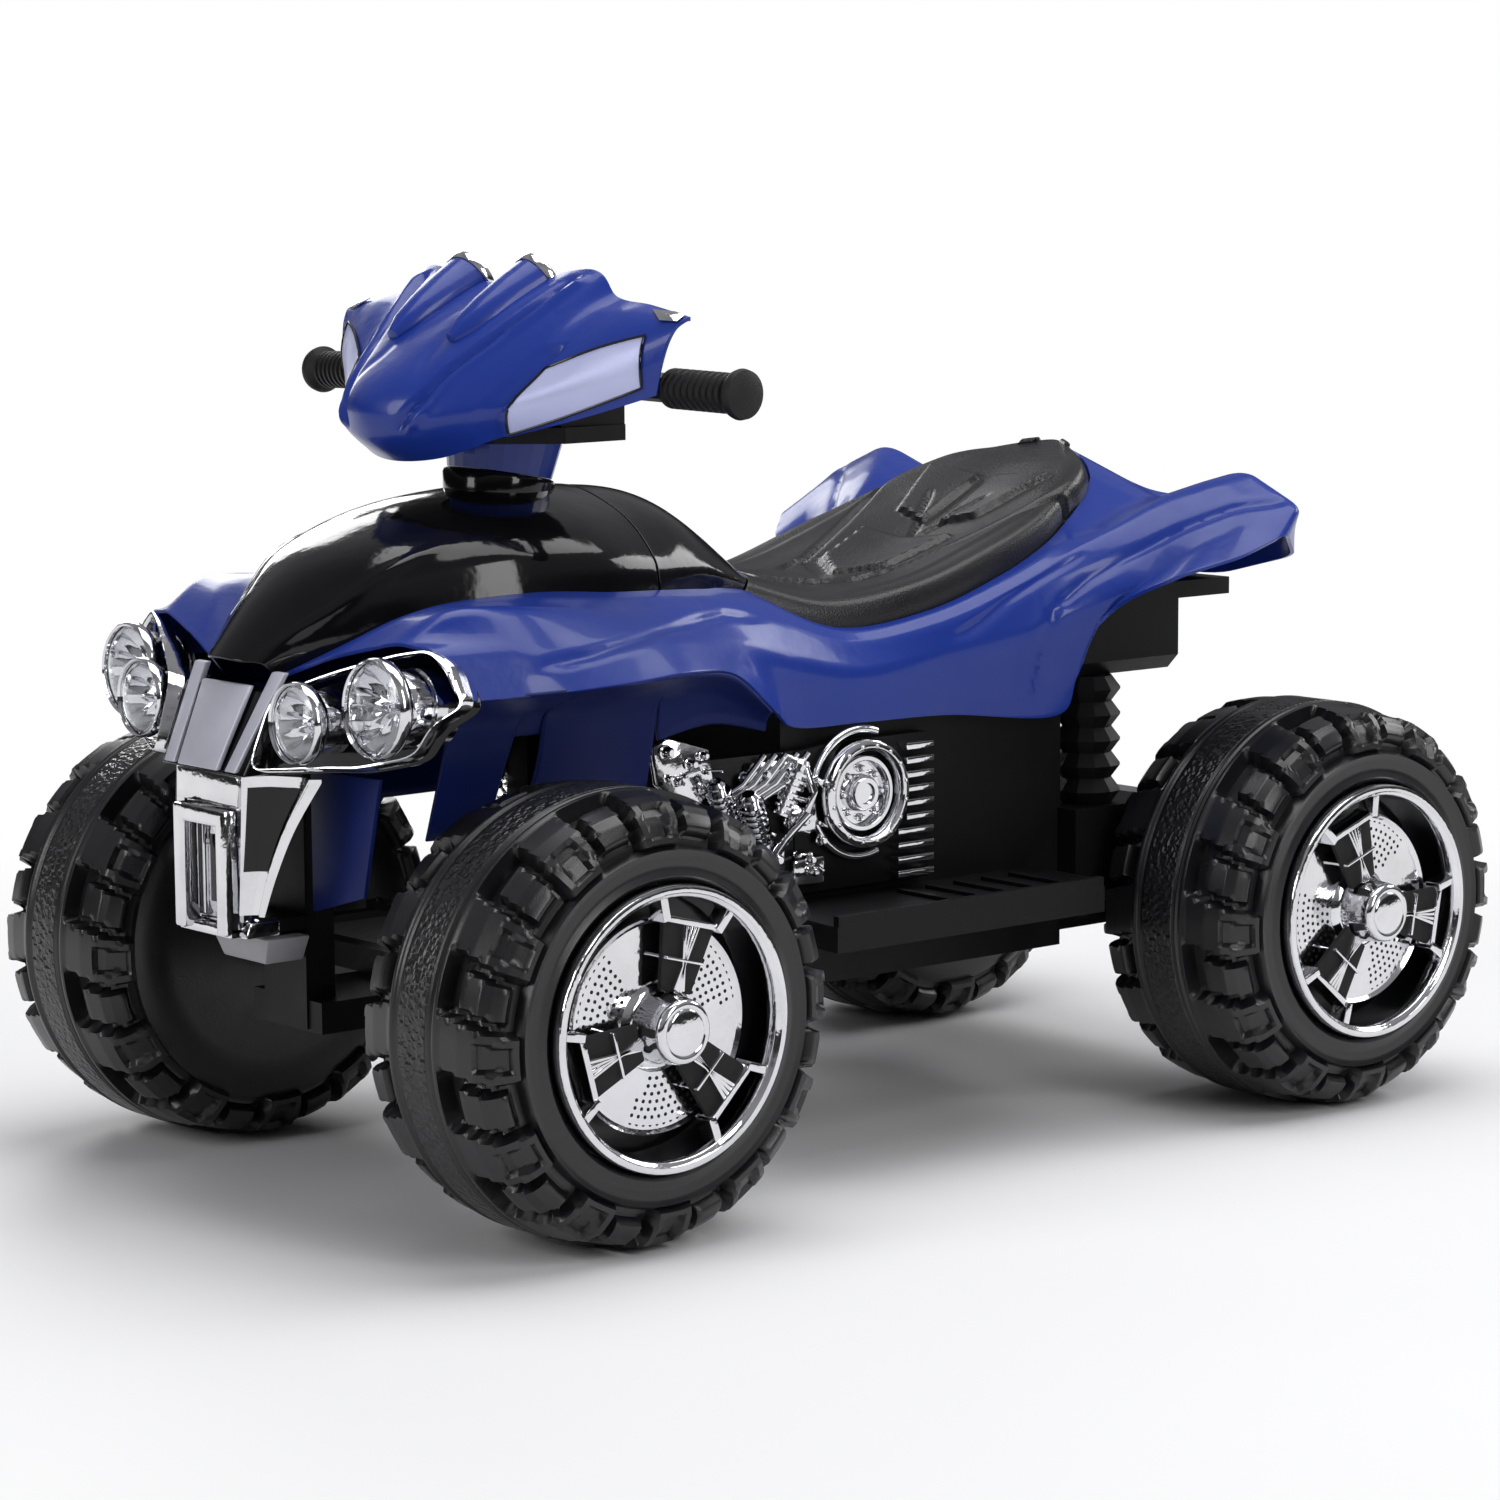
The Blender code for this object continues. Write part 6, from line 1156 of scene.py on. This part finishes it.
# The tread's half widths along the rim, its lean, its depth and the rounding of its edges
BLOCK_HALF, BAR_HALF, DIMPLE_HALF = 0.0205, 0.0145, 0.0100
LUG_LEAN, LUG_DEPTH, LUG_EDGE = 0.22, 0.0120, 0.0030
BAR_SHARE, DIMPLE_SHARE = 0.80, 0.45
GROOVES, GROOVE_DEPTH, GROOVE_HALF = (0.0180, 0.0222), 0.0016, 0.0010
TREAD_STEPS, SECTION_STEP, DISH_STEP = 360, 0.0019, 0.02


def tyre_relief(angle, radius, out):
    """How far the moulding stands in from its outline, at an angle and a place on its section."""
    turn = np.mod(angle + PITCH / 2, PITCH) - PITCH / 2
    wide = np.abs(out)
    arc = turn * TYRE_RADIUS
    bar_arc = (np.mod(turn, PITCH) - PITCH / 2) * TYRE_RADIUS
    lean = (wide - 0.055) * LUG_LEAN
    block = np.minimum(BLOCK_HALF - np.abs(arc - lean), radius - 0.1305)
    bar = np.minimum(np.minimum(BAR_HALF - np.abs(bar_arc - lean), wide - 0.044), radius - 0.1420)
    proud = np.maximum(step_edge(block, 0.0, LUG_EDGE), BAR_SHARE * step_edge(bar, 0.0, LUG_EDGE))
    dimple = np.minimum(np.minimum(DIMPLE_HALF - np.abs(arc - lean), radius - 0.1380), wide - 0.0645)
    proud = proud - DIMPLE_SHARE * step_edge(dimple, 0.0, 0.0026)
    zone = step_edge(wide, 0.0295, 0.0030) * step_edge(radius, 0.1290, 0.0040)
    sink = LUG_DEPTH * (1 - proud) * zone
    for groove in GROOVES:
        sink = sink + GROOVE_DEPTH * np.exp(-((wide - groove) / GROOVE_HALF) ** 2)
    return sink


def tyre(side):
    """One tyre about its own centre, its dish turned to the side given."""
    places = [(radius, out) for radius, out in TYRE_SECTION]
    places += [(radius, -out) for radius, out in reversed(TYRE_SECTION[8:-1])]
    places += [(0.1200, -0.0815), (0.030, -0.0815), (0.010, -0.0830)]
    lengths = [np.hypot(b[0] - a[0], b[1] - a[1]) for a, b in zip(places, places[1:])]
    reach = np.concatenate([[0], np.cumsum(lengths)])
    samples = [0.0]
    for start, end in zip(reach, reach[1:]):
        spacing = SECTION_STEP if start > reach[4] and end < reach[-3] else DISH_STEP
        count = max(1, int(round((end - start) / spacing)))
        samples += [start + (end - start) * (step + 1) / count for step in range(count)]
    samples = np.array(samples)
    radius = np.interp(samples, reach, [place[0] for place in places])
    out = np.interp(samples, reach, [place[1] for place in places])
    angle = np.linspace(0, 2 * pi, TREAD_STEPS, endpoint=False)
    angles, radii = np.meshgrid(angle, radius, indexing="ij")
    outs = np.meshgrid(angle, out, indexing="ij")[1]
    slope_r, slope_o = np.gradient(radius), np.gradient(out)
    size = np.hypot(slope_r, slope_o)
    sink = tyre_relief(angles, radii, outs)
    radii = radii + sink * (slope_o / size)[None, :]
    outs = outs - sink * (slope_r / size)[None, :]
    rows = len(samples) - 1
    shape = bmesh.new()
    bmesh.ops.create_grid(shape, x_segments=TREAD_STEPS, y_segments=rows, size=1.0)
    layer = shape.loops.layers.uv.new("tread")
    order = {}
    for corner in shape.verts:
        u, v = round((corner.co.x + 1) / 2 * TREAD_STEPS), round((corner.co.y + 1) / 2 * rows)
        order[corner] = (u, v)
        w = u % TREAD_STEPS
        corner.co = (side * outs[w, v], radii[w, v] * cos(angle[w]), radii[w, v] * sin(angle[w]))
    for face in shape.faces:
        for loop in face.loops:
            u, v = order[loop.vert]
            loop[layer].uv = (u / TREAD_STEPS * 2 * pi * TYRE_RADIUS, out[v])
    bmesh.ops.remove_doubles(shape, verts=shape.verts, dist=1e-6)
    bmesh.ops.recalc_face_normals(shape, faces=shape.faces)
    return shape


tyre_look, shader, spot = finish("tyre_plastic", TYRE_BLACK, 0.30, Specular_IOR_Level=0.55)
tread = spot.node("UVMap", {"uv_map": "tread"}, {})
tread_place = spot.node("SeparateXYZ", {}, {"Vector": tread}, 1)
off_middle = tread_place.math("ABSOLUTE", tread_place)
band_mask = spot.node("MapRange", {}, {"Value": off_middle, "From Min": 0.0165, "From Max": 0.0155})
knurl = spot.node("TexVoronoi", {"feature": "F1", "distance": "CHEBYCHEV"}, {"Vector": tread, "Scale": 210.0})
dust = cloud(spot, 24.0, 4.0)
feed(shader, "Base Color", blended(spot, dust, TYRE_BLACK, TYRE_DUST))
feed(shader, "Roughness", 0.22 + dust * 0.18)
feed(shader, "Normal", raised(spot, knurl * band_mask * 3.0 + cloud(spot, 800.0, 2.0) * 0.18, 0.0006))

for side, hand in HANDS:
    master = tyre(side)
    for end, y in AXLE_PLACES:
        shape = master.copy()
        bmesh.ops.translate(shape, verts=shape.verts, vec=(side * TRACK_HALF, y, 0))
        add_piece(f"tread_{end}_{hand}", shape, tyre_look, f"wheel_{end}_{hand}", (f"tyre_{end}_{hand}",), 40)
    master.free()


# Wheel trims: a plated ring, three forked spokes, a plate set back between them and a long hub with
# a round cap. Dark plates in the spokes' slots and dark dots on the plate are painted shade for the
# slots and holes. Each snaps into the dish of its tyre.
HOLE_SHADE = (0.0040, 0.0040, 0.0045)
PLATE_X = 0.0665
RING_OUT, RING_IN = 0.1037, 0.0945
RING = ((RING_OUT, 0.0785), (RING_OUT, 0.0872), (0.1027, 0.0893), (0.1005, 0.0902), (0.0982, 0.0898),
        (0.0970, 0.0882), (0.0956, 0.0876), (RING_IN, 0.0862), (0.0938, 0.0800), (0.0940, 0.0470),
        (0.0980, 0.0470), (0.0995, 0.0700), (RING_OUT, 0.0785))
# The plate in section, from its foot on the hub: (radius, distance out from the plate's face)
PLATE_SECTION = ((0.022, -0.004), (0.0775, -0.004), (0.0787, -0.002), (0.0787, 0.0012), (0.0773, 0.0024),
                 (0.0759, 0.0012), (0.0745, 0.0), (0.0330, 0.0010), (0.0300, 0.0045), (0.0270, 0.0060),
                 (0.022, 0.0060), (0.022, -0.004))
HUB = ((0.0, 0.1012), (0.0150, 0.1012), (0.0162, 0.1006), (0.0170, 0.0998), (0.0180, 0.1004),
       (0.0196, 0.1008), (0.0218, 0.1000), (0.0232, 0.0982), (0.0240, 0.0950), (0.0252, 0.0800),
       (0.0285, PLATE_X), (0.0285, 0.050), (0.0, 0.050))
FIRST_SPOKE = {"front": radians(-15), "rear": radians(20)}
SPOKES = tuple(radians(120 * k) for k in range(3))
RIB_LEANS = (-0.200, -0.067, 0.067, 0.200)
# Each bar across a spoke: from and to which radius, and its half length
CROSS_BARS = ((0.0480, 0.0505, 0.0175), (0.0740, 0.0790, 0.0262))
SLOT_OUTLINE = ((-0.0140, 0.026), (0.0140, 0.026), (0.0238, 0.0755), (-0.0238, 0.0755))
HOLE_RINGS, FIRST_HOLES, HOLE_PITCH, HOLE_RADIUS = 7, 0.0375, 0.0056, 0.00155


def bar_between(low, high, turn):
    """A bar with eased edges between two corners, turned round the wheel's axle."""
    shape = bmesh.new()
    bmesh.ops.create_cube(shape, size=1.0)
    size = Vector(high) - Vector(low)
    bmesh.ops.scale(shape, verts=shape.verts, vec=size)
    bmesh.ops.translate(shape, verts=shape.verts, vec=(Vector(high) + Vector(low)) / 2)
    eased(shape, 0.0009)
    bmesh.ops.transform(shape, verts=shape.verts, matrix=turn)
    return shape


def trim():
    """The plated piece of a left wheel, about the wheel's centre."""
    out = (1, 0, 0)
    plate_section = [(radius, PLATE_X + forward) for radius, forward in PLATE_SECTION]
    shapes = [turned(RING, 96, (0, 0, 0), out), turned(plate_section, 96, (0, 0, 0), out),
              turned(HUB, 64, (0, 0, 0), out)]
    for angle in SPOKES:
        turn = Matrix.Rotation(angle, 4, "X")
        for lean in RIB_LEANS:
            fan = turn @ Matrix.Rotation(lean, 4, "X") @ Matrix.Translation((0, lean * 0.045, 0))
            shapes.append(bar_between((PLATE_X, -0.0016, 0.026), (0.0845, 0.0016, 0.0770), fan))
        for edge in (-1, 1):
            fork = Matrix.Translation((0, edge * 0.0240, 0.0740)) @ Matrix.Rotation(-edge * 0.45, 4, "X")
            shapes.append(bar_between((PLATE_X + 0.004, -0.0034, 0.0), (0.0862, 0.0034, 0.0235), turn @ fork))
        for low, high, half in CROSS_BARS:
            shapes.append(bar_between((PLATE_X, -half, low), (0.0850, half, high), turn))
    return joined(shapes)


def hole_shades():
    """Painted shade for the slots of the spokes and the rows of small holes in the plate between them."""
    shapes = []
    for angle in SPOKES:
        turn = Matrix.Rotation(angle, 4, "X")
        corners = [turn @ Vector((PLATE_X + 0.0100, y, z)) for y, z in SLOT_OUTLINE]
        shapes.append(plate(corners, (0.0040, 0, 0), 0.0006))
    for ring in range(HOLE_RINGS):
        radius = FIRST_HOLES + HOLE_PITCH * ring
        count = int(round(2 * pi * radius / 0.0062))
        for number in range(count):
            angle = 2 * pi * (number + 0.5 * (ring % 2)) / count
            nearest = min(abs((angle - spoke + pi) % (2 * pi) - pi) for spoke in SPOKES)
            if nearest * radius > 0.0120 + 0.20 * radius:
                dot = bmesh.new()
                bmesh.ops.create_circle(dot, cap_ends=True, segments=6, radius=HOLE_RADIUS)
                on_plate = (PLATE_X + 0.0011 - 0.00017 * ring, radius * cos(angle), radius * sin(angle))
                place = Matrix.Translation(on_plate) @ Matrix.Rotation(pi / 2, 4, "Y")
                bmesh.ops.transform(dot, verts=dot.verts, matrix=place)
                shapes.append(dot)
    return joined(shapes)


# Painted shade: a dark matte finish for the plates and dots that stand in the trims' slots and holes.
hole_look, shader, spot = finish("hole_shadow", HOLE_SHADE, 0.8)
feed(shader, "Roughness", 0.7 + cloud(spot, 90.0) * 0.2)

plated_trim, holes = trim(), hole_shades()
for side, hand in HANDS:
    for end, y in AXLE_PLACES:
        wheel = f"wheel_{end}_{hand}"
        place = Matrix.Translation((side * TRACK_HALF, y, 0)) @ Matrix.Rotation(FIRST_SPOKE[end], 4, "X")
        bright, dark = [shape.copy() if side > 0 else mirrored(shape) for shape in (plated_trim, holes)]
        bmesh.ops.transform(bright, verts=bright.verts, matrix=place)
        bmesh.ops.transform(dark, verts=dark.verts, matrix=place)
        add_piece(f"plated_trim_{end}_{hand}", bright, chrome_look, wheel, (f"wheel_trim_{end}_{hand}",), 40)
        add_piece(f"trim_hole_shade_{end}_{hand}", dark, hole_look, wheel)
